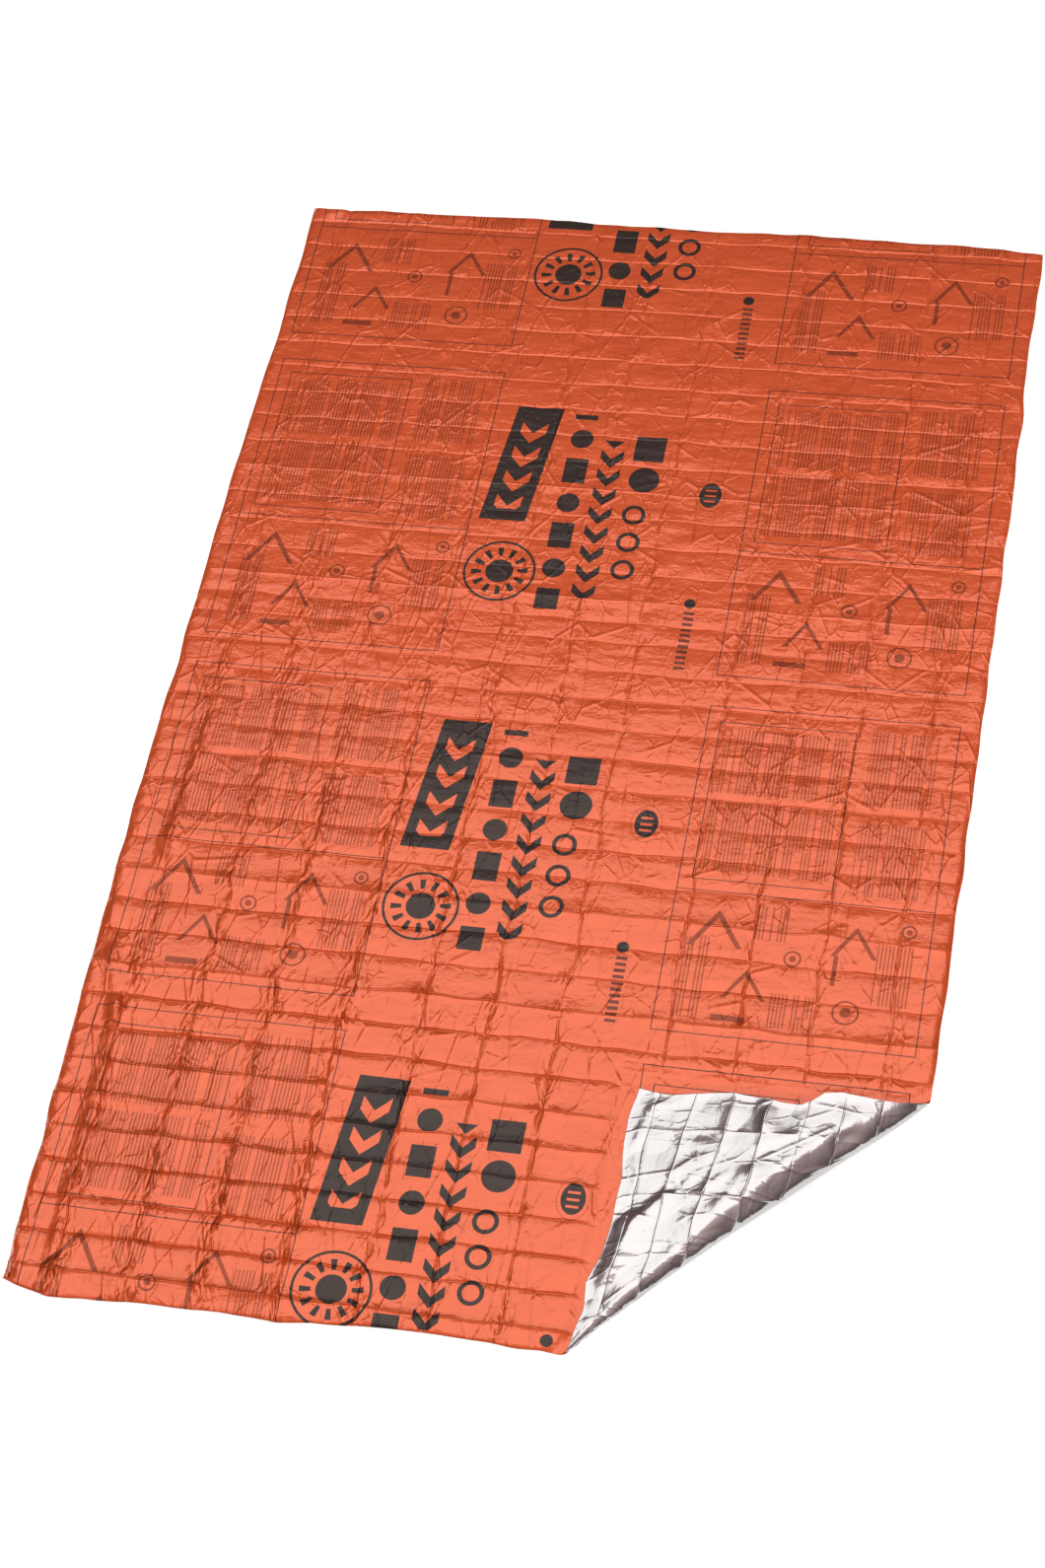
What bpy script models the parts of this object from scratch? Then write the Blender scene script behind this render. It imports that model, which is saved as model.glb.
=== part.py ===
"""Emergency foil blanket, laid out flat with one corner turned back on itself.

The blanket is one cut length of metallised film, printed orange on its upper face and bare
silver underneath. It was packed folded small, so it opens with a grid of creases. Here it lies
face up on a floor: every panel rests flat, the creases stand up between the panels as low
ridges, and one corner is folded over in a loose roll that shows the silver face.

Frame: +X across the width, +Y along the length, +Z up, in metres. The origin is at the middle
of the blanket's bounding box, on the floor.
"""

import math
import random
from typing import NamedTuple

import bmesh
import bpy
from mathutils import Vector

# --- The cut sheet -----------------------------------------------------------------------
WIDTH = 1.524             # 60 inches, the common two-person size
LENGTH = 2.438            # 96 inches
THICKNESS = 0.0012        # the film with its fine crinkles, as a solid

# --- Creases across the width, measured along the length ------------------------------------
FIRST_CREASE = 0.0345     # from the top edge to the first crease
UPPER_PANELS = 14
UPPER_PITCH = 0.0642
MIDDLE_PANELS = 2         # the pair where the pack was folded in half
MIDDLE_PITCH = 0.0473
LOWER_PANELS = 21
LOWER_PITCH_FIRST = 0.0643
LOWER_PITCH_LAST = 0.0663

# --- Creases along the length, measured from the middle of the width -------------------------
LENGTHWISE_CREASES = (
    -0.674, -0.539, -0.407, -0.272, -0.139, -0.018, 0.108, 0.295, 0.418, 0.542, 0.674)

# --- How a crease stands up ------------------------------------------------------------------
CREASE_HALF_WIDTH = 0.010
CREASE_HEIGHT_LOW = 0.0016
CREASE_HEIGHT_HIGH = 0.0034
EDGE_CURL = 0.0010        # a cut edge barely leaves the floor
CROSSING_WANDER_X = 0.0045
CROSSING_WANDER_Y = 0.0015
UNEVEN_SEED = 7


class EdgePoint(NamedTuple):
    """One place on a cut edge."""

    along: float          # from the middle of the edge, towards +X or +Y
    out: float            # how far the edge lies outside the true rectangle there


LEFT_EDGE = (
    EdgePoint(-1.219, -0.007), EdgePoint(-0.95, -0.004), EdgePoint(-0.53, 0.000),
    EdgePoint(-0.23, 0.004), EdgePoint(0.07, 0.002), EdgePoint(0.31, 0.000),
    EdgePoint(0.67, -0.004), EdgePoint(0.91, -0.009), EdgePoint(1.219, -0.013))
RIGHT_EDGE = (
    EdgePoint(-1.219, 0.000), EdgePoint(-0.65, -0.003), EdgePoint(-0.17, 0.001),
    EdgePoint(0.30, -0.001), EdgePoint(0.79, -0.002), EdgePoint(0.92, -0.006),
    EdgePoint(0.97, -0.008), EdgePoint(1.04, -0.003), EdgePoint(1.219, -0.004))
TOP_EDGE = (
    EdgePoint(-0.762, -0.002), EdgePoint(-0.64, -0.004), EdgePoint(-0.53, 0.001),
    EdgePoint(-0.27, 0.006), EdgePoint(-0.12, 0.000), EdgePoint(0.03, 0.000),
    EdgePoint(0.11, -0.004), EdgePoint(0.33, 0.003), EdgePoint(0.52, -0.003),
    EdgePoint(0.67, -0.005), EdgePoint(0.762, -0.015))
BOTTOM_EDGE = (
    EdgePoint(-0.762, -0.008), EdgePoint(-0.674, 0.013), EdgePoint(-0.60, 0.007),
    EdgePoint(-0.34, 0.002), EdgePoint(-0.27, 0.005), EdgePoint(-0.12, -0.006),
    EdgePoint(0.00, -0.010), EdgePoint(0.11, -0.006), EdgePoint(0.22, 0.000),
    EdgePoint(0.762, 0.000))


class SoftFold(NamedTuple):
    """A broad fold that runs between two points and lifts the sheet off the floor."""

    start_x: float
    start_y: float
    end_x: float
    end_y: float
    height: float
    reach: float          # how far to each side it lifts the sheet


SOFT_FOLDS = (
    SoftFold(-0.762, -0.40, -0.715, -0.66, 0.0055, 0.040),
    SoftFold(-0.690, -0.70, -0.674, -1.24, 0.0060, 0.045),
    SoftFold(-0.755, 1.224, -0.270, 1.227, 0.0060, 0.028),
    SoftFold(-0.110, 0.960, 0.120, 1.080, 0.0040, 0.050),
    SoftFold(0.295, 1.00, 0.300, 0.80, 0.0030, 0.050))

# --- The turned corner, at +X and -Y ----------------------------------------------------------
FOLD_OUT = Vector((1.0, -1.0, 0.0)).normalized()      # across the fold, towards the cut corner
FOLD_ALONG = Vector((1.0, 1.0, 0.0)).normalized()     # along the fold, from the bottom edge up
FOLD_FOOT = Vector((0.2245, -LENGTH / 2, 0.0))        # where the fold meets the bottom edge
FOLD_SIDE = WIDTH / 2 - FOLD_FOOT.x                   # the edge that each end of the fold cuts off
FOLD_LENGTH = FOLD_SIDE * math.sqrt(2)
FLAP_TOP = FOLD_FOOT.y + FOLD_SIDE                    # y of the flap's upper edge
ROLL_RADIUS_MIDDLE = 0.024
ROLL_RADIUS_END = 0.004
ROLL_FULLNESS = 0.7       # below 1, the roll swells quickly from its pinched ends
SHOULDER = 0.58           # the roll bulges past its lift-off line by this much of its radius
FLAP_DROP_ANGLE = math.radians(14.0)
FULL_TURN = math.pi + FLAP_DROP_ANGLE
BEND_SHARE = 0.7          # near its ends the roll takes this much of the sheet beyond the fold
FLAP_HEIGHT = 0.0075      # the silver face of the flap above the floor, where it lies
FLAP_WAVE = 0.0022
FLAP_WAVE_PITCH = 0.130
FLAP_WAVE_SKEW = 0.4
FOLD_LINE_CUTS = 1
FOLD_END_CUTS = 6         # the pinched ends bend tightly, so they are cut finer
SAME_PLACE = 1e-6
ROLL_STEPS = 8
FLAP_STEPS = 8
SHORT_STRIP = 0.045       # a strip no longer than this has only every fourth of its points
SHORT_STRIP_STRIDE = 4
ROLL_MARGIN = 0.03        # creases are pressed flat this close to the fold

# --- Finishes -----------------------------------------------------------------------------------
ORANGE = (0.78, 0.13, 0.045, 1.0)
SILVER = (0.80, 0.80, 0.81, 1.0)


def clear_scene() -> None:
    """Remove every object that the new file came with."""
    for item in list(bpy.data.objects):
        bpy.data.objects.remove(item, do_unlink=True)


def foil_material(name: str, colour: tuple, metallic: float, roughness: float) -> bpy.types.Material:
    """Return a plain Principled material of one colour."""
    material = bpy.data.materials.new(name)
    material.use_nodes = True
    shader = material.node_tree.nodes["Principled BSDF"]
    shader.inputs["Base Color"].default_value = colour
    shader.inputs["Metallic"].default_value = metallic
    shader.inputs["Roughness"].default_value = roughness
    return material


def edge_out(edge: tuple, along: float) -> float:
    """Read an edge's table at one place, straight between its points."""
    for low, high in zip(edge, edge[1:]):
        if along <= high.along:
            share = max(0.0, (along - low.along) / (high.along - low.along))
            return low.out + share * (high.out - low.out)
    return edge[-1].out


def crease_rows() -> list:
    """Return y of the top edge, of each crease across the width, and of the bottom edge."""
    pitches = [FIRST_CREASE]
    pitches += [UPPER_PITCH] * UPPER_PANELS
    pitches += [MIDDLE_PITCH] * MIDDLE_PANELS
    growth = (LOWER_PITCH_LAST - LOWER_PITCH_FIRST) / (LOWER_PANELS - 1)
    pitches += [LOWER_PITCH_FIRST + growth * panel for panel in range(LOWER_PANELS)]
    rows = [LENGTH / 2]
    for pitch in pitches:
        rows.append(rows[-1] - pitch)
    return rows + [-LENGTH / 2]


def crease_columns() -> list:
    """Return x of the left edge, of each crease along the length, and of the right edge."""
    return [-WIDTH / 2, *LENGTHWISE_CREASES, WIDTH / 2]


def add_panels(sheet: bmesh.types.BMesh) -> None:
    """Lay out the panels between the creases, with crossings as uneven as hand folding leaves."""
    uneven = random.Random(UNEVEN_SEED)
    rows = crease_rows()
    columns = crease_columns()
    crossings = []
    for row, y in enumerate(rows):
        line = []
        for column, x in enumerate(columns):
            wander_x = uneven.uniform(-CROSSING_WANDER_X, CROSSING_WANDER_X)
            wander_y = uneven.uniform(-CROSSING_WANDER_Y, CROSSING_WANDER_Y)
            place = Vector((x + wander_x, y + wander_y, 0.0))
            if column == 0:
                place.x = x - edge_out(LEFT_EDGE, y)
            elif column == len(columns) - 1:
                place.x = x + edge_out(RIGHT_EDGE, y)
            if row == 0:
                place.y = y + edge_out(TOP_EDGE, x)
            elif row == len(rows) - 1:
                place.y = y - edge_out(BOTTOM_EDGE, x)
            line.append(sheet.verts.new(place))
        crossings.append(line)
    for upper, lower in zip(crossings, crossings[1:]):
        for column in range(len(columns) - 1):
            sheet.faces.new((lower[column], lower[column + 1], upper[column + 1], upper[column]))


def along_fold(place: Vector) -> float:
    """Return how far a point of the flat sheet lies along the fold, from the bottom edge."""
    return (place - FOLD_FOOT).dot(FOLD_ALONG)


def roll_radius(along: float) -> float:
    """Return the radius of the roll: pinched at the two edges and full in the middle."""
    share = min(max(along / FOLD_LENGTH, 0.0), 1.0)
    swell = math.sin(math.pi * share) ** ROLL_FULLNESS
    return ROLL_RADIUS_END + (ROLL_RADIUS_MIDDLE - ROLL_RADIUS_END) * swell


def lift_off(along: float) -> float:
    """Return how far out the sheet leaves the floor, so that the rolled edge shows straight."""
    return FOLD_FOOT.dot(FOLD_OUT) - SHOULDER * roll_radius(along)


def cut_corner_away(sheet: bmesh.types.BMesh) -> list:
    """Cut the flat part along the lift-off curve and return the cut's points in order.

    The curve is made straight by a shift across the fold, cut there, and shifted back.
    """
    end = lift_off(0.0)
    for vert in sheet.verts:
        vert.co += FOLD_OUT * (end - lift_off(along_fold(vert.co)))
    parts = list(sheet.verts) + list(sheet.edges) + list(sheet.faces)
    cut = bmesh.ops.bisect_plane(
        sheet, geom=parts, plane_co=FOLD_OUT * end, plane_no=FOLD_OUT, clear_outer=True)
    line = [part for part in cut["geom_cut"] if isinstance(part, bmesh.types.BMEdge)]
    line.sort(key=lambda edge: along_fold(edge.verts[0].co + edge.verts[1].co - FOLD_FOOT))
    bmesh.ops.subdivide_edges(sheet, edges=line[1:-1], cuts=FOLD_LINE_CUTS)
    bmesh.ops.subdivide_edges(sheet, edges=[line[0], line[-1]], cuts=FOLD_END_CUTS)
    points = [vert for vert in sheet.verts if abs(vert.co.dot(FOLD_OUT) - end) < SAME_PLACE]
    for vert in sheet.verts:
        vert.co -= FOLD_OUT * (end - lift_off(along_fold(vert.co)))
    return sorted(points, key=lambda vert: along_fold(vert.co))


def reach_to_edge(place: Vector) -> float:
    """Return the length of sheet from a point to the cut edge, straight across the fold."""
    to_bottom = place.y + LENGTH / 2
    to_right = WIDTH / 2 - place.x
    if to_right < to_bottom:
        side = to_right + edge_out(RIGHT_EDGE, place.y - to_right)
    else:
        side = to_bottom + edge_out(BOTTOM_EDGE, place.x + to_bottom)
    return max(0.0, side) * math.sqrt(2)


def rolled(start: Vector, length: float) -> Vector:
    """Carry a point of the corner round the roll, at its length of sheet from the lift-off.

    The sheet turns over on a circle until it points a little down, slants down until it is
    FLAP_HEIGHT above the floor, and lies back from there in shallow waves.
    """
    along = along_fold(start)
    radius = roll_radius(along)
    turned = min(length / radius, FULL_TURN)
    height = radius * (1.0 - math.cos(turned))
    rest = max(0.0, length - FULL_TURN * radius)
    slant = min(rest, max(0.0, height - FLAP_HEIGHT) / math.sin(FLAP_DROP_ANGLE))
    out = radius * math.sin(turned) - slant * math.cos(FLAP_DROP_ANGLE) - (rest - slant)
    wave = math.sin(2 * math.pi * (along + FLAP_WAVE_SKEW * rest) / FLAP_WAVE_PITCH)
    wave *= FLAP_WAVE * min(1.0, rest / FLAP_WAVE_PITCH)
    height += wave - slant * math.sin(FLAP_DROP_ANGLE)
    return start + FOLD_OUT * out + Vector((0.0, 0.0, height))


def corner_strip(sheet: bmesh.types.BMesh, vert: bmesh.types.BMVert) -> list:
    """Add one strip's points, from the lift-off curve round the roll to the cut edge.

    The list always has the same number of entries. A short strip holds fewer points and
    repeats each of them, so that its neighbours join it with triangles.
    """
    whole = reach_to_edge(vert.co)
    bend = min(FULL_TURN * roll_radius(along_fold(vert.co)), BEND_SHARE * whole)
    lengths = [bend * step / ROLL_STEPS for step in range(1, ROLL_STEPS + 1)]
    lengths += [bend + (whole - bend) * step / FLAP_STEPS for step in range(1, FLAP_STEPS + 1)]
    stride = SHORT_STRIP_STRIDE if whole < SHORT_STRIP else 1
    strip = [vert]
    for last in range(stride - 1, len(lengths), stride):
        strip += [sheet.verts.new(rolled(vert.co, lengths[last]))] * stride
    return strip


def add_turned_corner(sheet: bmesh.types.BMesh, line: list) -> None:
    """Add the roll and the flap, strip by strip along the lift-off curve."""
    steps = ROLL_STEPS + FLAP_STEPS
    strips = [[line[0]] * (steps + 1)]
    strips += [corner_strip(sheet, vert) for vert in line[1:-1]]
    strips.append([line[-1]] * (steps + 1))
    for near, far in zip(strips, strips[1:]):
        for step in range(steps):
            ring = (near[step], near[step + 1], far[step + 1], far[step])
            corners = list(dict.fromkeys(ring))
            if len(corners) > 2:
                sheet.faces.new(corners)


def is_by_the_roll(place: Vector) -> bool:
    """Say whether a point of the flat part is close to the fold."""
    return place.dot(FOLD_OUT) > FOLD_FOOT.dot(FOLD_OUT) - ROLL_MARGIN


def is_pressed(place: Vector) -> bool:
    """Say whether the flap or the roll presses a point of the flat part flat."""
    under_flap = place.x > FOLD_FOOT.x and place.y < FLAP_TOP
    return under_flap or is_by_the_roll(place)


def soft_fold_height(place: Vector) -> float:
    """Return the height that the broad folds give a point of the flat part."""
    height = 0.0
    for fold in SOFT_FOLDS:
        start = Vector((fold.start_x, fold.start_y, 0.0))
        run = Vector((fold.end_x, fold.end_y, 0.0)) - start
        share = min(max((place - start).dot(run) / run.length_squared, 0.0), 1.0)
        aside = (place - start - run * share).length
        height = max(height, fold.height * (1.0 - aside / fold.reach))
    return height


def raise_creases(sheet: bmesh.types.BMesh) -> None:
    """Inset each panel from its creases and stand the creases up between the panels."""
    uneven = random.Random(UNEVEN_SEED)
    crossings = list(sheet.verts)
    panels = []
    for face in sheet.faces:
        meets_roll = any(is_by_the_roll(vert.co) for vert in face.verts)
        if not meets_roll and not is_pressed(face.calc_center_median()):
            panels.append(face)
    bmesh.ops.inset_individual(
        sheet, faces=panels, thickness=CREASE_HALF_WIDTH, use_even_offset=True)
    for vert in crossings:
        height = uneven.uniform(CREASE_HEIGHT_LOW, CREASE_HEIGHT_HIGH)
        if vert.is_boundary:
            height = EDGE_CURL
        if is_pressed(vert.co):
            height = 0.0
        vert.co.z = height
    for vert in sheet.verts:
        if not is_pressed(vert.co):
            vert.co.z = max(vert.co.z, soft_fold_height(vert.co))


def centre_on_floor(sheet: bmesh.types.BMesh) -> None:
    """Move the sheet so that the middle of its bounding box stands over the origin."""
    low = Vector([min(vert.co[axis] for vert in sheet.verts) for axis in range(3)])
    high = Vector([max(vert.co[axis] for vert in sheet.verts) for axis in range(3)])
    shift = Vector((-(low.x + high.x) / 2, -(low.y + high.y) / 2, -low.z))
    bmesh.ops.translate(sheet, vec=shift, verts=list(sheet.verts))


def build_foil_sheet() -> bpy.types.Object:
    """Build the blanket as one closed sheet.

    It is cut into triangles before it gets its thickness, so that both faces bend along the
    same lines.
    """
    sheet = bmesh.new()
    add_panels(sheet)
    line = cut_corner_away(sheet)
    raise_creases(sheet)
    add_turned_corner(sheet, line)
    centre_on_floor(sheet)
    bmesh.ops.triangulate(sheet, faces=list(sheet.faces))
    mesh = bpy.data.meshes.new("foil_sheet")
    sheet.to_mesh(mesh)
    sheet.free()
    mesh.materials.append(foil_material("orange_face", ORANGE, 0.45, 0.38))
    mesh.materials.append(foil_material("silver_face", SILVER, 1.0, 0.22))
    foil = bpy.data.objects.new("foil_sheet", mesh)
    bpy.context.scene.collection.objects.link(foil)
    solidify = foil.modifiers.new("film_thickness", "SOLIDIFY")
    solidify.thickness = THICKNESS
    solidify.offset = 1.0
    solidify.material_offset = 1
    return foil


def main() -> None:
    """Build the blanket in an empty scene."""
    clear_scene()
    build_foil_sheet()


main()
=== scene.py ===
"""Emergency foil blanket, laid out flat on a pale floor with one corner turned back.

The blanket is one cut length of thin metallised film: printed orange on its upper face, bare
silver underneath. It was packed folded small, so it opens with a grid of creases that cross in
small tucks, and the film between them is softly crumpled. The printed face carries plain
instruction panels and bold distress-signal shapes.

The film is one closed thin shell, worked out as arrays over a grid of the flat cut sheet. Every
point of the cut sheet goes to its place on the floor, round the loose roll of the turned corner,
or onto the flap, and is then lifted along the film's own normal by the creases and crumples.
"""

import logging
import math
import random
from dataclasses import dataclass, field
from enum import Enum
from typing import NamedTuple, Sequence, Union

import bpy
import numpy as np
from mathutils import Matrix, Vector


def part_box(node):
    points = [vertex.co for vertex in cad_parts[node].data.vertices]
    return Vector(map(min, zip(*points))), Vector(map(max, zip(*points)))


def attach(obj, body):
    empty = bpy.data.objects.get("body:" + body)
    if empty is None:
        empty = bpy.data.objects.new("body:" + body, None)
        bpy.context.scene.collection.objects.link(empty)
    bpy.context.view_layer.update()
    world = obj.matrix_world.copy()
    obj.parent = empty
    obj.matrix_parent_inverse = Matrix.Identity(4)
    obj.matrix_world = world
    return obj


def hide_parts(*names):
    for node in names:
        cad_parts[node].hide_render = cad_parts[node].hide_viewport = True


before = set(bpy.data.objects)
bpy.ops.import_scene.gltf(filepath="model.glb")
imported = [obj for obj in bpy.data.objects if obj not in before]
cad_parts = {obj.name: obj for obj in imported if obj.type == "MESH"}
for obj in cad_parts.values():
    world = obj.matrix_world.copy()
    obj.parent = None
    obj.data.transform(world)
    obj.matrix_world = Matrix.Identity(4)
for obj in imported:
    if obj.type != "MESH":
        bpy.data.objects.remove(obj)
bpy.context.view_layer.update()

LOG = logging.getLogger("foil_blanket")
NODE = "foil_sheet"
TURN = 2 * math.pi
RIDGE_ROUNDING = 0.0015               # rounds the top of a placed fold, in metres
Source = Union[bpy.types.Node, bpy.types.NodeSocket]


class Face(Enum):
    """The two faces of the film, by their place in the blanket's material slots."""

    PRINTED = 0
    SILVER = 1


# --- The cut sheet and its creases, in metres, measured from the middle of the cut ----------------
class EdgePoint(NamedTuple):
    """One place on a cut edge."""

    along: float          # from the middle of the edge, towards +X or +Y
    out: float            # how far the edge lies outside the true rectangle there


LEFT_EDGE = tuple(EdgePoint(*row) for row in (
    (-1.219, -0.007), (-0.95, -0.004), (-0.53, 0.000), (-0.23, 0.004), (0.07, 0.002),
    (0.31, 0.000), (0.67, -0.004), (0.91, -0.009), (1.219, -0.013)))
RIGHT_EDGE = tuple(EdgePoint(*row) for row in (
    (-1.219, 0.000), (-0.65, -0.003), (-0.17, 0.001), (0.30, -0.001), (0.79, -0.002),
    (0.92, -0.006), (0.97, -0.008), (1.04, -0.003), (1.219, -0.004)))
TOP_EDGE = tuple(EdgePoint(*row) for row in (
    (-0.762, -0.002), (-0.64, -0.004), (-0.53, 0.001), (-0.27, 0.006), (-0.12, 0.000),
    (0.03, 0.000), (0.11, -0.004), (0.33, 0.003), (0.52, -0.003), (0.67, -0.005), (0.762, -0.015)))
BOTTOM_EDGE = tuple(EdgePoint(*row) for row in (
    (-0.762, -0.008), (-0.674, 0.013), (-0.60, 0.007), (-0.34, 0.002), (-0.27, 0.005),
    (-0.12, -0.006), (0.00, -0.010), (0.11, -0.006), (0.22, 0.000), (0.762, 0.000)))
# How far the turned corner's two edges wave out of line, beyond the tables above.
FLAP_SIDE = tuple(EdgePoint(*row) for row in (
    (0.270, 0.000), (0.314, -0.006), (0.376, 0.007), (0.430, -0.009), (0.492, -0.010),
    (0.581, -0.011), (0.652, 0.000), (0.724, 0.002), (0.762, 0.000)))
FLAP_TOP = tuple(EdgePoint(*row) for row in (
    (-1.219, 0.000), (-1.158, -0.010), (-1.053, 0.000), (-0.972, -0.012), (-0.930, -0.019),
    (-0.894, 0.008), (-0.859, 0.009), (-0.811, 0.003), (-0.754, -0.003), (-0.700, 0.000)))


def smooth_step(value: np.ndarray, low: float, high: float) -> np.ndarray:
    """Rise from 0 to 1 between two values, with a level start and end.

    Args:
        value: The numbers to judge.
        low: Where the rise starts.
        high: Where the rise ends; it may lie below low, for a fall.

    Returns:
        Three times the square of the share of the way, less twice its cube.
    """
    share = np.clip((value - low) / (high - low), 0.0, 1.0)
    return share * share * (3.0 - 2.0 * share)


def read_edge(edge: Sequence[EdgePoint], along: np.ndarray) -> np.ndarray:
    """Read an edge's table, straight between its points."""
    return np.interp(along, [point.along for point in edge], [point.out for point in edge])


def from_least(least: float, share: np.ndarray) -> np.ndarray:
    """Rise evenly from a least value to 1, as the share rises from 0 to 1."""
    return least + (1.0 - least) * share


class Growth(NamedTuple):
    """A share that grows towards the near left of the blanket, where it was pressed hardest."""

    far_y: float          # where it starts to grow along the length, and where it is full
    near_y: float
    right_x: float        # the same across the width
    left_x: float

    def at(self, x: np.ndarray, y: np.ndarray) -> np.ndarray:
        """Return the share at each point, as the product of a smooth step each way."""
        return smooth_step(y, self.far_y, self.near_y) * smooth_step(x, self.right_x, self.left_x)


class Spots(NamedTuple):
    """Where each point of the film's grid lies among the creases."""

    row: np.ndarray       # the panel's number down the length, plus the point's share of it
    column: np.ndarray    # the same across the width
    top: np.ndarray       # the number of the crease or edge above it, and left of it
    left: np.ndarray
    down: np.ndarray      # the point's share of the panel, from each of those
    across: np.ndarray
    tall: np.ndarray      # the panel's own length and width
    wide: np.ndarray

    def read(self, table: np.ndarray, below: int = 0) -> np.ndarray:
        """Read a table of the crossings, straight between two on the same crease.

        Args:
            table: A value for each crossing.
            below: 0 for the crease above each point, or 1 for the one below it.

        Returns:
            The value at each point.
        """
        start, end = table[self.top + below, self.left], table[self.top + below, self.left + 1]
        return start * (1 - self.across) + end * self.across

    def nearest(self) -> np.ndarray:
        """Return the number of the nearest lengthwise crease."""
        return np.rint(self.column).astype(int)

    def aside(self) -> np.ndarray:
        """Return how far each point lies to the right of the nearest lengthwise crease."""
        return (self.column - self.nearest()) * self.wide


@dataclass
class CutSheet:
    """The flat cut of film and the grid of creases that its packing left in it."""

    width: float = 1.524              # 60 inches
    length: float = 2.438             # 96 inches
    thickness: float = 0.0004         # the film with its fine crinkles
    first_crease: float = 0.0345
    upper_panels: int = 14
    upper_pitch: float = 0.0642
    middle_panels: int = 2            # the pair where the pack was folded in half
    middle_pitch: float = 0.0473
    lower_panels: int = 21
    lower_pitch_first: float = 0.0643
    lower_pitch_last: float = 0.0663
    lengthwise: tuple = (
        -0.674, -0.539, -0.407, -0.272, -0.139, -0.018, 0.108, 0.295, 0.418, 0.542, 0.674)
    wander_x: float = 0.0045          # how far hand folding moved the crossings
    wander_y: float = 0.0015
    wander_seed: int = 7
    crests: tuple = (0.0012, 0.0031)  # grid lines beside each crease
    skirt: float = 0.010              # one more beside each lengthwise crease
    wide_gap: float = 0.030           # the widest spacing of the grid's columns, and
    tall_gap: float = 0.024           # of its rows, away from the turned corner
    side_gap: float = 0.010           # the widest spacing of columns beside the left edge
    corner_gap: float = 0.0105        # the widest spacing of both in the turned corner
    corner_x: float = 0.2             # where the turned corner's finer grid starts
    corner_y: float = -0.65

    def rows(self) -> np.ndarray:
        """Lay the creases across the width, from the top edge down to the bottom edge.

        Returns:
            y of the edges and creases: half the length, less the running sum of the pitches.
        """
        half = self.length / 2
        pitches = np.concatenate([
            [self.first_crease],
            np.full(self.upper_panels, self.upper_pitch),
            np.full(self.middle_panels, self.middle_pitch),
            np.linspace(self.lower_pitch_first, self.lower_pitch_last, self.lower_panels)])
        return np.concatenate([[half], half - np.cumsum(pitches), [-half]])

    def columns(self) -> np.ndarray:
        """Return x of the left edge, of each crease along the length, and of the right edge."""
        return np.array([-self.width / 2, *self.lengthwise, self.width / 2])

    def crossings(self) -> tuple:
        """Move each crossing of the creases and edges a little, by even random numbers.

        Returns:
            x and y of every crossing, row by row. Those on an edge follow the edge's own table.
        """
        uneven = random.Random(self.wander_seed)
        rows, columns = self.rows(), self.columns()
        moves = [
            (uneven.uniform(-self.wander_x, self.wander_x),
             uneven.uniform(-self.wander_y, self.wander_y))
            for _ in range(len(rows) * len(columns))]
        moves = np.array(moves).reshape(len(rows), len(columns), 2)
        x = columns[None, :] + moves[:, :, 0]
        y = rows[:, None] + moves[:, :, 1]
        x[:, 0] = columns[0] - read_edge(LEFT_EDGE, rows)
        x[:, -1] = columns[-1] + read_edge(RIGHT_EDGE, rows)
        y[0, :] = rows[0] + read_edge(TOP_EDGE, columns)
        y[-1, :] = rows[-1] - read_edge(BOTTOM_EDGE, columns)
        return x, y

    def graded(self, places: np.ndarray, beside: tuple, gaps: np.ndarray) -> np.ndarray:
        """Space grid lines closely beside the creases and evenly between them.

        Args:
            places: Where the creases and edges lie.
            beside: Distances from a crease to the lines next to it.
            gaps: The widest spacing allowed in each panel.

        Returns:
            Each line's place as a panel number plus its share of that panel.
        """
        lines = []
        for panel, (start, end) in enumerate(zip(places, places[1:])):
            size = abs(end - start)
            near = np.array(beside) / size
            spaces = max(1, math.ceil((size - 2 * beside[-1]) / gaps[panel]))
            between = np.linspace(near[-1], 1.0 - near[-1], spaces + 1)[1:-1]
            lines.append(panel + np.concatenate([[0.0], near, between, 1.0 - near[::-1]]))
        return np.concatenate([*lines, [len(places) - 1.0]])

    def grid(self) -> Spots:
        """Lay the grid over the sheet: finer in the turned corner and beside the left edge.

        Returns:
            Where each of its points lies among the creases.
        """
        rows, columns = self.rows(), self.columns()
        row_gaps = np.where(rows[1:] < self.corner_y, self.corner_gap, self.tall_gap)
        column_gaps = np.where(columns[1:] > self.corner_x, self.corner_gap, self.wide_gap)
        column_gaps[0] = self.side_gap
        row, column = np.meshgrid(
            self.graded(rows, self.crests, row_gaps),
            self.graded(columns, (*self.crests, self.skirt), column_gaps), indexing="ij")
        top = np.minimum(row.astype(int), len(rows) - 2)
        left = np.minimum(column.astype(int), len(columns) - 2)
        tall, wide = -np.diff(rows)[top], np.diff(columns)[left]
        return Spots(row, column, top, left, row - top, column - left, tall, wide)


class Waves:
    """A sum of plane waves in random directions, for smooth unevenness."""

    def __init__(self, seed: int, count: int, shortest: float, longest: float) -> None:
        """Draw the waves' directions, lengths and starts.

        Args:
            seed: The seed of the random numbers.
            count: How many waves there are.
            shortest: The least length of a wave, in metres.
            longest: The greatest.
        """
        draw = np.random.default_rng(seed)
        angle = draw.uniform(0.0, math.pi, count)
        size = draw.uniform(shortest, longest, count)
        self.x = TURN * np.cos(angle) / size
        self.y = TURN * np.sin(angle) / size
        self.start = draw.uniform(0.0, TURN, count)

    def at(self, x: np.ndarray, y: np.ndarray) -> np.ndarray:
        """Return the sum of the waves' sines at each point, scaled to a spread of about 1."""
        phase = x[..., None] * self.x + y[..., None] * self.y + self.start
        return np.sin(phase).sum(axis=-1) * math.sqrt(2.0 / len(self.x))


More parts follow.
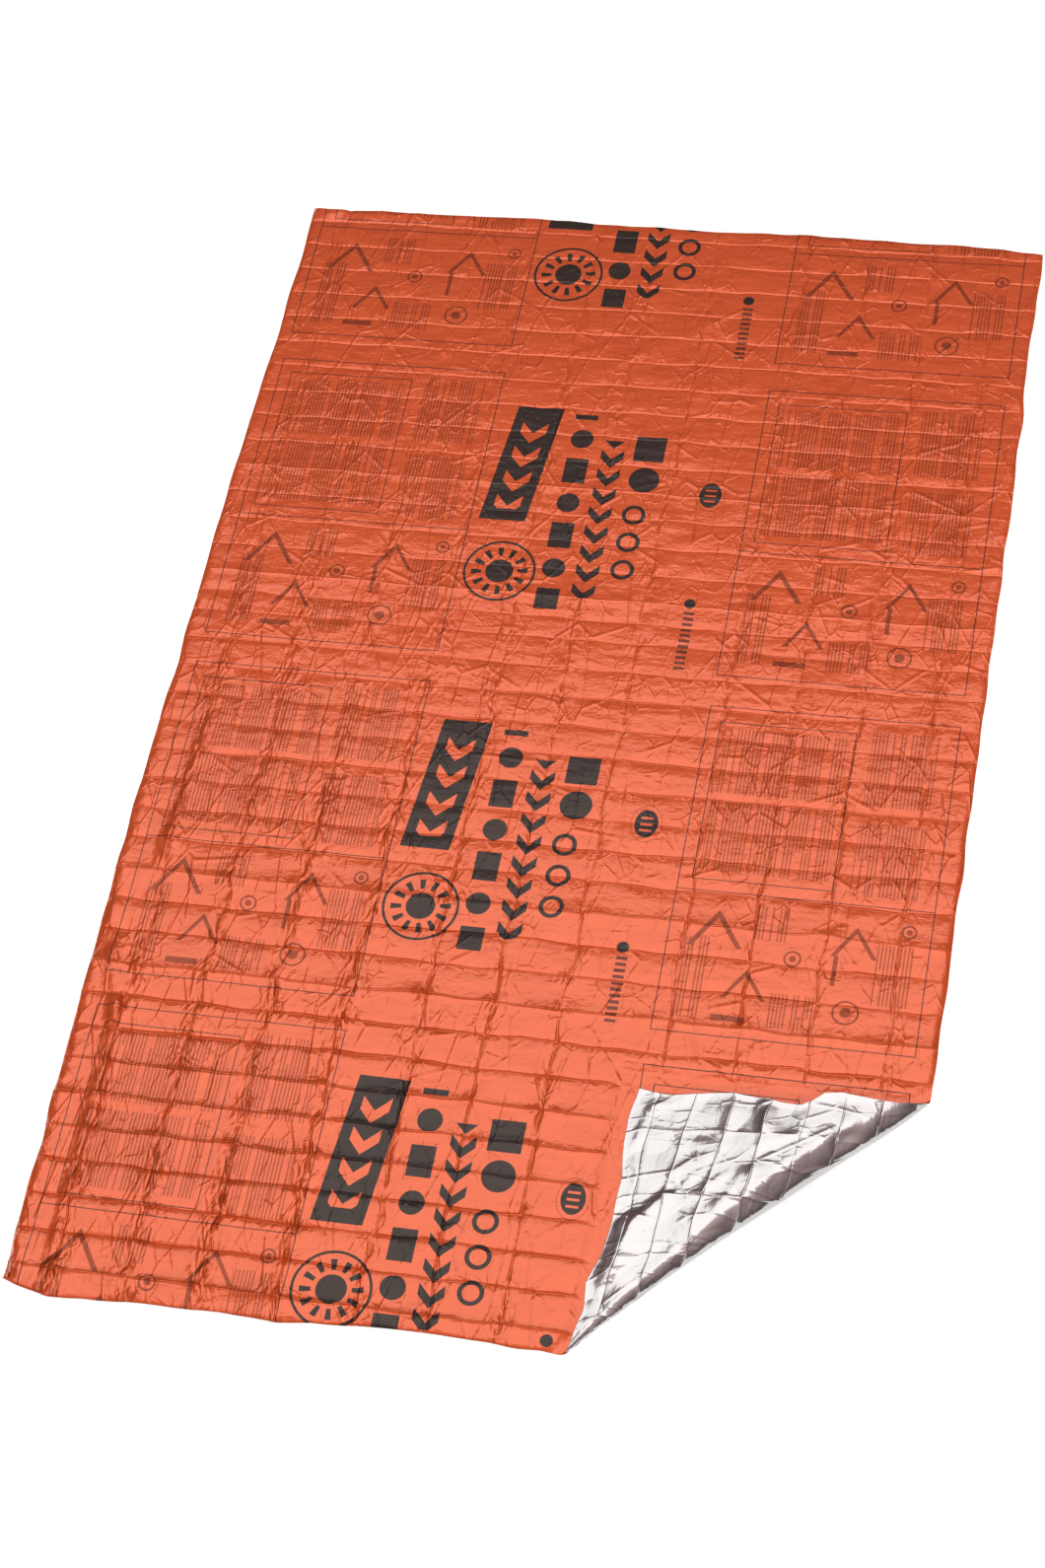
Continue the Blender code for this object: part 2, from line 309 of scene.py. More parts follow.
# --- How the film is lifted -----------------------------------------------------------------------
class Wrinkle(NamedTuple):
    """A broad soft fold between two given points."""

    start_x: float
    start_y: float
    end_x: float
    end_y: float
    height: float
    reach: float          # how far to each side it lifts the film
    steep: float = 1.0    # how much sooner it ends on the right of its run


def wrinkle_lift(wrinkles: Sequence[Wrinkle], x: np.ndarray, y: np.ndarray) -> np.ndarray:
    """Work out the height that the listed folds give each point.

    Args:
        wrinkles: The folds.
        x: The points' places across the width.
        y: And along the length.

    Returns:
        The sum of the folds' heights. Each falls in step with the distance aside, over its
        reach, from a slightly rounded top, and past its two ends in the same way. Steepness
        above 1 draws its foot in sooner on the side to the right of its run.
    """
    total = np.zeros_like(x)
    for wrinkle in wrinkles:
        run_x = wrinkle.end_x - wrinkle.start_x
        run_y = wrinkle.end_y - wrinkle.start_y
        share = (x - wrinkle.start_x) * run_x + (y - wrinkle.start_y) * run_y
        share = np.clip(share / (run_x ** 2 + run_y ** 2), 0.0, 1.0)
        off_x = x - wrinkle.start_x - share * run_x
        off_y = y - wrinkle.start_y - share * run_y
        steep = np.where(off_x * run_y - off_y * run_x > 0.0, wrinkle.steep, 1.0)
        aside = np.hypot(np.hypot(off_x, off_y) * steep, RIDGE_ROUNDING) / wrinkle.reach
        total += wrinkle.height * np.maximum(0.0, 1.0 - aside)
    return total


@dataclass
class Relief:
    """How the creases, tucks and crumples lift the film, in metres.

    The panels stand a little off the floor, and most creases reach back down towards it.
    """

    seed: int = 11
    stand_far: float = 0.0023         # the panels' height at the far end and the near end,
    stand_near: float = 0.0053
    stand_from: float = 0.5           # and the places between which it grows
    stand_to: float = -0.5
    crease_width: float = 0.0018      # from a crease's middle to where its slope is steepest
    skirt_width: float = 0.012        # the film curving into it
    skirt_share: float = 0.11
    row_low: float = 0.55             # the depths of creases across the width, in stands
    row_high: float = 1.0
    column_low: float = 0.45          # and of those along the length
    column_high: float = 1.1
    ridge_share: float = 0.22         # how many creases stand up instead,
    ridge_height: float = 0.7         # and how high, against the others' depth
    rough: Growth = Growth(0.1, -0.9, 0.25, -0.35)      # where the film is roughest,
    rough_more: float = 0.5           # how much more of the creases and tucks there is there,
    row_rough: float = 0.4            # and how much of that goes to creases across the width
    column_less: float = 0.4          # what those along the length have less than the tucks
    split: float = 0.004              # how far a lengthwise crease parts into two, with the
    split_from: float = 0.1           # doubling waves above this,
    split_less: float = 0.8           # and in step with the roughness above this
    tuck_height: float = 0.0028
    tuck_reach: float = 0.011
    tuck_least: float = 0.1           # the weakest tuck, against the strongest
    pressed: Growth = Growth(0.7, -0.5, 0.15, -0.35)    # where the gathers are strongest
    gather_reach: float = 0.011       # how far the fine gathers reach beside a crease,
    gather_least: float = 0.15        # and their least share, where it is hardly pressed
    knot_reach: float = 0.020         # the same round a crossing,
    knot_least: float = 0.45
    knot_patch: float = 0.3           # and how little a patch of the crease leaves of them
    hem: Growth = Growth(-1.15, -1.20, 0.10, -0.20)     # the gathers beside the near edge,
    hem_share: float = 0.3            # their strength,
    hem_least: float = 0.4            # and how little of it the swells leave
    gather_end: float = 0.035         # no gather lies further aside of a crease than this,
    gather_fade: float = 0.015        # and they are at full strength up to this
    corner: Growth = Growth(-0.8, -1.1, -0.1, -0.3)     # where they are stronger still
    corner_more: float = 0.4
    swell: float = 0.0006
    swells: Waves = field(default_factory=lambda: Waves(5, 22, 0.05, 0.22))
    doubling: Waves = field(default_factory=lambda: Waves(6, 10, 0.06, 0.30))
    floor_wrinkles: tuple = tuple(Wrinkle(*row) for row in (
    (-0.770, -0.36, -0.722, -0.58, 0.0080, 0.020, 1.5),
    (-0.722, -0.58, -0.684, -0.70, 0.0090, 0.020, 1.5),
    (-0.684, -0.70, -0.676, -1.24, 0.0080, 0.018, 1.5),
    (-0.672, 0.10, -0.668, -0.12, 0.0050, 0.016, 1.5),
    (-0.668, -0.12, -0.682, -0.36, 0.0070, 0.017, 1.5),
    (-0.755, 1.212, -0.270, 1.215, 0.0050, 0.018),
    (-0.130, 0.930, 0.060, 1.070, 0.0024, 0.016, 1.7),
    (-0.040, 0.860, 0.150, 0.985, 0.0022, 0.015, 1.7),
    (-0.200, 1.060, -0.060, 1.120, 0.0022, 0.014, 1.5),
    (0.295, 1.00, 0.300, 0.80, 0.0030, 0.020),
    (-0.290, -1.150, -0.245, -1.222, 0.0050, 0.016),
    (-0.262, -1.145, -0.222, -1.215, 0.0040, 0.014),
    (-0.740, -1.195, -0.300, -1.188, 0.0040, 0.016, 1.5),
    (-0.762, -1.120, -0.690, -1.222, 0.0060, 0.022, 1.4)))
    flap_wrinkles: tuple = tuple(Wrinkle(*row) for row in (
    (0.360, -0.823, 0.440, -0.823, 0.0022, 0.012),
    (0.493, -0.818, 0.556, -0.791, 0.0026, 0.013),
    (0.342, -0.925, 0.304, -0.972, 0.0065, 0.026, 1.6),
    (0.297, -0.810, 0.296, -0.968, 0.0012, 0.012),
    (0.427, -0.733, 0.427, -0.805, 0.0022, 0.020, 1.8),
    (0.488, -0.741, 0.494, -0.789, 0.0070, 0.026, 1.7),
    (0.556, -0.736, 0.559, -0.782, 0.0040, 0.018),
    (0.480, -0.867, 0.432, -0.937, 0.0030, 0.022, 1.5),
    (0.658, -0.749, 0.624, -0.803, -0.0035, 0.018),
    (0.620, -0.786, 0.667, -0.782, -0.0025, 0.014),
    (0.306, -1.052, 0.280, -1.095, -0.0025, 0.014),
    (0.296, -0.985, 0.283, -1.062, 0.0110, 0.036),
    (0.353, -0.884, 0.410, -0.844, 0.0026, 0.022, 1.6),
    (0.370, -0.936, 0.428, -0.906, 0.0020, 0.020, 1.6),
    (0.298, -0.756, 0.355, -0.738, 0.0020, 0.014),
    (0.352, -0.956, 0.416, -0.962, 0.0016, 0.012),
    (0.388, -0.880, 0.402, -0.912, 0.0030, 0.013, 1.4),
    (0.402, -0.912, 0.436, -0.884, 0.0028, 0.012, 1.5),
    (0.372, -0.908, 0.388, -0.880, 0.0024, 0.010, 1.4),
    (0.295, -0.761, 0.277, -0.829, 0.0022, 0.014)))

    def section(self, away: np.ndarray) -> np.ndarray:
        """Work out a crease's section.

        Args:
            away: The distance from the crease's middle.

        Returns:
            Its height, as a share: a bell, and a skirt that dies away exponentially.
        """
        bell = np.exp(-(away / self.crease_width) ** 2)
        skirt = np.exp(-away / self.skirt_width)
        return (1.0 - self.skirt_share) * bell + self.skirt_share * skirt

    def along_crease(self, heights: np.ndarray, crease: np.ndarray, place: np.ndarray) -> np.ndarray:
        """Read each crease's own random heights, straight between two a panel.

        Args:
            heights: One row for each crease, two entries a panel.
            crease: The crease's number at each point.
            place: The panel number along the crease, with its share.

        Returns:
            The crease's height at each point.
        """
        where = np.clip(2.0 * place, 0.0, heights.shape[1] - 1.001)
        low = where.astype(int)
        share = where - low
        return heights[crease, low] * (1.0 - share) + heights[crease, low + 1] * share

    def draw_heights(self, draw: np.random.Generator, creases: int, panels: int,
                     low: float, high: float) -> np.ndarray:
        """Draw each crease's heights along its length.

        Args:
            draw: The random numbers.
            creases: How many creases there are.
            panels: How many panels each one passes.
            low: The least depth.
            high: The greatest.

        Returns:
            One row for each crease: below zero for a trough, above for a ridge.
        """
        sizes = draw.uniform(low, high, (creases, 2 * panels))
        ridges = draw.uniform(0.0, 1.0, (creases, 1)) < self.ridge_share
        return np.where(ridges, self.ridge_height * sizes, -sizes)

    def tucks(self, sheet: CutSheet, spots: Spots, x: np.ndarray, y: np.ndarray) -> np.ndarray:
        """Gather the film into small radiating tucks round each crossing.

        Args:
            sheet: The cut sheet.
            spots: Where the points lie among the creases.
            x: Their places on the flat cut, across the width.
            y: And along the length.

        Returns:
            Their height: a cosine of the bearing, three to six times round, that rises with the
            distance from the crossing and then dies away exponentially.
        """
        draw = np.random.default_rng(self.seed + 1)
        crossing_x, crossing_y = sheet.crossings()
        nearest = np.rint(spots.row).astype(int), spots.nearest()
        turns = draw.integers(3, 7, crossing_x.shape)[nearest]
        start = draw.uniform(0.0, TURN, crossing_x.shape)[nearest]
        strength = draw.uniform(self.tuck_least, 1.0, crossing_x.shape)[nearest]
        aside_x, aside_y = x - crossing_x[nearest], y - crossing_y[nearest]
        far = np.hypot(aside_x, aside_y) / self.tuck_reach
        ray = 0.5 + 0.5 * np.cos(turns * np.arctan2(aside_y, aside_x) + start)
        return self.tuck_height * strength * ray * far * np.exp(1.0 - far)

    def gathers(self, sheet: CutSheet, spots: Spots, x: np.ndarray, y: np.ndarray) -> np.ndarray:
        """Work out how strongly the film is gathered into fine pleats at each point.

        It is gathered beside the lengthwise creases in uneven patches, round the crossings, and
        beside the near edge, and most of all at the near left.

        Args:
            sheet: The cut sheet.
            spots: Where the points lie among the creases.
            x: Their places on the flat cut, across the width.
            y: And along the length.

        Returns:
            The greatest of three shares: a bell beside each crease, a bell round each crossing,
            and a growth towards the near edge. They end before the middle of a panel, where the
            pleats change from one crease's to the next one's.
        """
        draw = np.random.default_rng(self.seed + 2)
        patches = draw.uniform(0.0, 1.0, (len(sheet.columns()), 2 * len(sheet.rows())))
        patches[[0, -1]] = 0.0
        aside = np.abs(spots.aside())
        apart = np.abs(spots.row - np.rint(spots.row)) * sheet.upper_pitch
        patchy = self.along_crease(patches, spots.nearest(), spots.row)
        pressed = self.pressed.at(x, y)
        beside = np.exp(-(aside / self.gather_reach) ** 2) * patchy
        knot = np.exp(-(aside ** 2 + apart ** 2) / self.knot_reach ** 2)
        knot = knot * from_least(self.knot_patch, patchy)
        hem = self.hem_share * self.hem.at(x, y)
        strength = np.maximum.reduce([
            beside * from_least(self.gather_least, pressed),
            knot * from_least(self.knot_least, pressed),
            hem * from_least(self.hem_least, self.swells.at(x, y) ** 2)])
        fade = smooth_step(aside, self.gather_end, self.gather_fade)
        strength = np.clip(strength, 0.0, 1.0) * fade
        return strength * (1.0 + self.corner_more * self.corner.at(x, y))

    def height(self, sheet: CutSheet, spots: Spots, x: np.ndarray, y: np.ndarray) -> np.ndarray:
        """Work out how far creases, tucks and crumples lift each point of the film.

        Where a crease along the length meets one across the width, it gives way to it. The
        lengthwise ones part into two where the film slipped as it was folded.

        Args:
            sheet: The cut sheet.
            spots: Where the points lie among the creases.
            x: Their places on the flat cut, across the width.
            y: And along the length.

        Returns:
            The panels' stand times one plus the creases' sections, plus the tucks and swells.
        """
        draw = np.random.default_rng(self.seed)
        rows, columns = len(sheet.rows()), len(sheet.columns())
        row_heights = self.draw_heights(draw, rows, columns, self.row_low, self.row_high)
        column_heights = self.draw_heights(draw, columns, rows, self.column_low, self.column_high)
        rough = 1.0 + self.rough_more * self.rough.at(x, y)
        above = self.section(spots.down * spots.tall)
        below = self.section((1.0 - spots.down) * spots.tall)
        crosswise = self.along_crease(row_heights, spots.top, spots.column) * above
        crosswise += self.along_crease(row_heights, spots.top + 1, spots.column) * below
        crosswise = crosswise * (1.0 + self.row_rough * (rough - 1.0))
        split = self.split * smooth_step(self.doubling.at(x, y), self.split_from, 1.0)
        split = split * (rough - self.split_less)
        left = self.along_crease(column_heights, spots.left, spots.row)
        left = left * self.section(np.abs(spots.across * spots.wide - split))
        right = self.along_crease(column_heights, spots.left + 1, spots.row)
        right = right * self.section(np.abs((1.0 - spots.across) * spots.wide - split))
        lengthwise = (left + right) * (rough - self.column_less)
        lengthwise = lengthwise * (1.0 - np.maximum(above, below))
        nearer = smooth_step(y, self.stand_from, self.stand_to)
        stand = self.stand_far + (self.stand_near - self.stand_far) * nearer
        creases = stand * np.maximum(1.0 + crosswise + lengthwise, 0.0)
        swell = self.swell * (0.5 + 0.5 * self.swells.at(x, y))
        return creases + rough * self.tucks(sheet, spots, x, y) + np.maximum(swell, 0.0)


# --- The turned corner, at +X and -Y --------------------------------------------------------------
class RollPoint(NamedTuple):
    """One place on the section of the roll, where it is at its full size."""

    length: float         # the film from where it lifts off the floor
    bearing: float        # how far it has turned there, in degrees


class FoldPoint(NamedTuple):
    """One place along the fold."""

    share: float          # of the way from the bottom edge to the right edge
    size: float           # the roll's size there, as a share of its full size
    out: float            # how far the roll's outline lies outside the straight fold
    taken: float          # how far the flap's edge falls short of a sharp fold
    edge: float           # the flap's edge above the floor, highest near the upper end


ROLL_SECTION = (
    RollPoint(0.0, 0.0), RollPoint(0.043, 126.0), RollPoint(0.050, 138.0),
    RollPoint(0.080, 150.0), RollPoint(0.088, 186.0))
FOLD = tuple(FoldPoint(*row) for row in (
    (0.00, 0.12, -0.001, 0.009, 0.004), (0.06, 0.22, -0.006, 0.018, 0.007),
    (0.18, 0.40, -0.010, 0.033, 0.010), (0.26, 0.48, -0.012, 0.044, 0.010),
    (0.32, 0.54, -0.012, 0.042, 0.009), (0.42, 0.68, -0.012, 0.046, 0.008),
    (0.50, 0.82, -0.010, 0.060, 0.008), (0.56, 0.93, -0.008, 0.058, 0.016),
    (0.65, 1.00, -0.006, 0.055, 0.030), (0.74, 0.96, -0.004, 0.058, 0.042),
    (0.82, 0.86, 0.000, 0.046, 0.047), (0.90, 0.68, 0.002, 0.038, 0.042),
    (0.96, 0.43, 0.002, 0.028, 0.022), (1.00, 0.15, 0.000, 0.012, 0.005)))


@dataclass
class TurnedCorner:
    """The corner that is folded over in a loose roll and lies back on the blanket."""

    sheet: CutSheet
    foot_x: float = 0.2245            # where the fold meets the bottom edge
    overhang: float = 0.0111          # from the roll's foot to its outline, at full size
    easing: float = 0.02              # evens out the fold's table over this share of it
    steps: int = 400                  # along the roll's section
    press_margin: float = 0.03        # creases are pressed flat this close to the fold,
    press_edge: float = 0.006         # and over this width at the flap's outline
    back_from: float = 0.015          # the film along the section where it starts to turn over,
    back_to: float = 0.070            # and where it has
    least_film: float = 0.001         # the shortest film of the flap that is reckoned with
    least_reach: float = 0.6          # how far the flap's film may be drawn together,
    most_reach: float = 1.1           # and stretched
    past_edge: float = 1.3            # how far it is carried on past its edge, in its lengths

    def __post_init__(self) -> None:
        """Work out the fold's own directions and lengths, and sum up the roll's section."""
        self.foot = np.array([self.foot_x, -self.sheet.length / 2])
        self.outward = np.array([1.0, -1.0]) / math.sqrt(2.0)
        self.alongside = np.array([1.0, 1.0]) / math.sqrt(2.0)
        side = self.sheet.width / 2 - self.foot_x
        self.fold_length = side * math.sqrt(2.0)
        self.flap_top = self.foot[1] + side
        self.full = ROLL_SECTION[-1].length
        self.section_length = np.linspace(0.0, self.full, self.steps)
        lengths, bearings = zip(*ROLL_SECTION)
        bearing = np.radians(np.interp(self.section_length, lengths, bearings))
        step = self.section_length[1]
        self.section_out = np.cumsum(np.cos(bearing)) * step
        self.section_height = np.cumsum(np.sin(bearing)) * step

    def read_fold(self, along: np.ndarray, column: str) -> np.ndarray:
        """Read one of the fold's columns, evened out over a short way.

        Args:
            along: The places along the fold.
            column: The name of the value to read.

        Returns:
            The mean of three readings: a little before each place, at it and after it.
        """
        share = along / self.fold_length
        places = [point.share for point in FOLD]
        values = [getattr(point, column) for point in FOLD]
        moved = [np.interp(share + turn * self.easing, places, values) for turn in (-1, 0, 1)]
        return sum(moved) / 3.0

    def past_fold(self, x: np.ndarray, y: np.ndarray) -> tuple:
        """Measure each point from the fold.

        Args:
            x: The points' places on the flat cut, across the width.
            y: And along the length.

        Returns:
            Its place along the fold, its film past the lift-off, how far that line lies outside
            the straight fold, and the roll's size there.
        """
        off_x, off_y = x - self.foot[0], y - self.foot[1]
        along = off_x * self.alongside[0] + off_y * self.alongside[1]
        out = off_x * self.outward[0] + off_y * self.outward[1]
        size = self.read_fold(along, "size")
        line = self.read_fold(along, "out") - self.overhang * size
        return along, out - line, line, size

    def pressed(self, x: np.ndarray, y: np.ndarray) -> np.ndarray:
        """Find where the flap or the roll presses the part on the floor flat.

        Args:
            x: The points' places on the flat cut, across the width.
            y: And along the length.

        Returns:
            1 under the flap's square or close before the roll, and 0 elsewhere, with smooth
            steps between.
        """
        edge = self.press_edge
        under_x = smooth_step(x, self.foot[0] - edge, self.foot[0] + edge)
        under_y = smooth_step(y, self.flap_top + edge, self.flap_top - edge)
        length = self.past_fold(x, y)[1]
        by_roll = smooth_step(length, -self.press_margin, -self.press_margin / 2)
        return np.maximum(under_x * under_y, by_roll)

    def carry(self, x: np.ndarray, y: np.ndarray) -> np.ndarray:
        """Carry the flat sheet's points to their places on the floor, the roll and the flap.

        Past the lift-off the film follows the roll's section at its local size. From the
        roll's crest it spans straight, seen from above, to where its edge was seen to land,
        which takes up the film's slack. On the way its height goes evenly from the crest's to
        the edge's, which stands above the crest near the roll's upper end.

        Args:
            x: The points' places on the flat cut, across the width.
            y: And along the length.

        Returns:
            The points in space.
        """
        along, length, line, size = self.past_fold(x, y)
        on_roll = np.clip(length / size, 0.0, self.full)
        out = np.interp(on_roll, self.section_length, self.section_out) * size
        height = np.interp(on_roll, self.section_length, self.section_height) * size
        to_edge = np.minimum(along, self.fold_length - along)
        crest = self.section_out[-1] * size + line
        film = np.maximum(to_edge - line - self.full * size, self.least_film)
        reach = (crest + to_edge - self.read_fold(along, "taken")) / film
        reach = np.clip(reach, self.least_reach, self.most_reach)
        rest = np.maximum(0.0, length - self.full * size)
        way = np.clip(rest / film, 0.0, self.past_edge)
        fall = self.section_height[-1] * size - self.read_fold(along, "edge")
        height = np.maximum(height - fall * np.minimum(way, 1.0), 0.0)
        moved = np.where(length > 0.0, out - rest * reach - length, 0.0)
        return np.stack([
            x + moved * self.outward[0],
            y + moved * self.outward[1],
            np.where(length > 0.0, height, 0.0)], axis=-1)

    def lying_back(self, x: np.ndarray, y: np.ndarray) -> np.ndarray:
        """Return how far each point has turned over, from 0 on the floor to 1 on the flap."""
        _, length, _, size = self.past_fold(x, y)
        return smooth_step(length / size, self.back_from, self.back_to)


# --- Nodes and finishes ---------------------------------------------------------------------------
def linear(colour: str) -> tuple:
    """Turn an sRGB hex colour into a linear one.

    Args:
        colour: A hash and six hex digits.

    Returns:
        Red, green, blue and a full alpha, by the sRGB curve: straight at the dark end, and a
        power of 2.4 above it.
    """
    parts = [int(colour[start:start + 2], 16) / 255.0 for start in (1, 3, 5)]
    line = [part / 12.92 if part <= 0.04045 else ((part + 0.055) / 1.055) ** 2.4 for part in parts]
    return (*line, 1.0)


class NodeSketch:
    """A new material or world whose nodes are added one after another."""

    def __init__(self, name: str, world: bool = False) -> None:
        """Start an empty node material, or world, of that name.

        Args:
            name: Its name.
            world: Whether it is a world.
        """
        self.owner = (bpy.data.worlds if world else bpy.data.materials).new(name)
        self.output = "OutputWorld" if world else "OutputMaterial"
        self.owner.use_nodes = True
        self.tree = self.owner.node_tree
        self.tree.nodes.clear()

    def add(self, kind: str, inputs: dict | Sequence = (), **settings: object) -> bpy.types.Node:
        """Add a node with its settings, and fill or link its inputs.

        Args:
            kind: The node's type name, without its ShaderNode.
            inputs: Values, sockets or nodes, in order, or by the inputs' names or numbers. A
                node stands for its first output.
            settings: Properties of the node itself.

        Returns:
            The new node.
        """
        node = self.tree.nodes.new("ShaderNode" + kind)
        for name, value in settings.items():
            setattr(node, name, value)
        pairs = inputs.items() if isinstance(inputs, dict) else enumerate(inputs)
        for name, value in pairs:
            if isinstance(value, bpy.types.Node):
                value = value.outputs[0]
            if isinstance(value, bpy.types.NodeSocket):
                self.tree.links.new(value, node.inputs[name])
            else:
                node.inputs[name].default_value = value
        return node

    def finish(self, shader: Source) -> bpy.types.ID:
        """Send the shader to the output, and return the material or world."""
        self.add(self.output, (shader,))
        return self.owner


class At(NamedTuple):
    """The two coordinates that a printed shape is drawn over, in metres."""

    across: Source
    along: Source


class Block(NamedTuple):
    """A rectangle of the printed design, by its middle and half its sides."""

    across: float
    along: float
    half_width: float
    half_length: float


class InkPlan(NodeSketch):
    """The printed design, drawn as masks that are 1 inside a shape and 0 outside it."""

    def box(self, at: At, block: Block) -> Source:
        """Draw a filled rectangle.

        Args:
            at: Where it is drawn.
            block: Its middle and half its sides.

        Returns:
            The mask: both coordinates lie within half a side of the middle.
        """
        in_width = self.add("Math", (at.across, block.across, block.half_width), operation="COMPARE")
        in_length = self.add("Math", (at.along, block.along, block.half_length), operation="COMPARE")
        return self.both(in_width, in_length)

    def boxes(self, at: At, blocks: Sequence[Block]) -> Source:
        """Several filled rectangles as one mask."""
        return self.any_of([self.box(at, block) for block in blocks])

    def frame(self, at: At, block: Block, line: float) -> Source:
        """A rectangle's outline: a filled one less the same one drawn in by the line."""
        inner = Block(*block[:2], block.half_width - line, block.half_length - line)
        return self.without(self.box(at, block), self.box(at, inner))

    def distance(self, at: At, middle: tuple, squash: float = 1.0) -> Source:
        """Measure the distance from a point.

        Args:
            at: Where it is measured.
            middle: The point.
            squash: What the length is divided by, for an oval.

        Returns:
            The distance.
        """
        place = self.add("CombineXYZ", at)
        aside = self.add("VectorMath", (place, (*middle, 0.0)), operation="SUBTRACT")
        scaled = self.add("VectorMath", (aside, (1.0, 1.0 / squash, 0.0)), operation="MULTIPLY")
        return self.add("VectorMath", (scaled,), operation="LENGTH").outputs["Value"]

    def disc(self, distance: Source, radius: float) -> Source:
        """A filled disc: the distance is under the radius."""
        return self.add("Math", (distance, radius), operation="LESS_THAN")

    def ring(self, distance: Source, radius: float, line: float) -> Source:
        """A ring: the distance is within half a line of the radius."""
        return self.add("Math", (distance, radius, line / 2), operation="COMPARE")

    def aside(self, place: Source, middle: float) -> Source:
        """How far a place lies to either side of a middle."""
        apart = self.add("Math", (place, middle), operation="SUBTRACT")
        return self.add("Math", (apart,), operation="ABSOLUTE")

    def chevrons(self, at: At, middle: float, pitch: float, fill: float) -> Source:
        """Draw arrow stripes.

        Args:
            at: Where they are drawn.
            middle: The line that their points lie on.
            pitch: Their spacing.
            fill: The share of it that each one takes.

        Returns:
            The mask: the place along, plus the distance aside, repeats at the pitch.
        """
        shifted = self.add("Math", (at.along, self.aside(at.across, middle)), operation="ADD")
        cell = self.add("Math", (shifted, pitch), operation="MODULO")
        return self.add("Math", (cell, fill * pitch), operation="LESS_THAN")

    def stripes(self, place: Source, pitch: float, fill: float) -> Source:
        """Bars at a pitch, each a share of it wide."""
        cell = self.add("Math", (place, pitch, 0.0), operation="WRAP")
        return self.add("Math", (cell, fill * pitch), operation="LESS_THAN")

    def both(self, first: Source, second: Source | float) -> Source:
        """Where two masks overlap, or one of them weakened to a share."""
        return self.add("Math", (first, second), operation="MULTIPLY")

    def without(self, mask: Source, hole: Source) -> Source:
        """A mask with another cut out of it."""
        return self.add("Math", (mask, hole), operation="SUBTRACT", use_clamp=True)

    def any_of(self, masks: Sequence[Source]) -> Source:
        """Join several masks.

        Args:
            masks: The masks, at least one.

        Returns:
            Where any of them lies: the greatest of them.
        """
        total = masks[0]
        for mask in masks[1:]:
            total = self.add("Math", (total, mask), operation="MAXIMUM")
        return total

    def small_print(self, at: At, pitch: float, word: float, rows: int = 9, words: int = 16) -> Source:
        """Draw rows of plain dashes as fine as small print.

        Args:
            at: Where they are drawn.
            pitch: The spacing of the rows, each of which is half as wide.
            word: The length of the pieces that a row is parted into.
            rows: One row in so many is left out, as between paragraphs.
            words: One piece in so many is left out, by chance.

        Returns:
            The mask: bars at the pitch, times the paragraphs, times the pieces that are kept.
        """
        paragraphs = self.stripes(at.across, rows * pitch, (rows - 1) / rows)
        lines = self.both(self.stripes(at.across, pitch, 0.50), paragraphs)
        place = self.add("CombineXYZ", at)
        cell = self.add("VectorMath", (place, (pitch, word, 1.0)), operation="SNAP")
        chance = self.add("TexWhiteNoise", (cell,), noise_dimensions="2D").outputs["Value"]
        return self.both(lines, self.add("Math", (chance, 1 / words), operation="GREATER_THAN"))


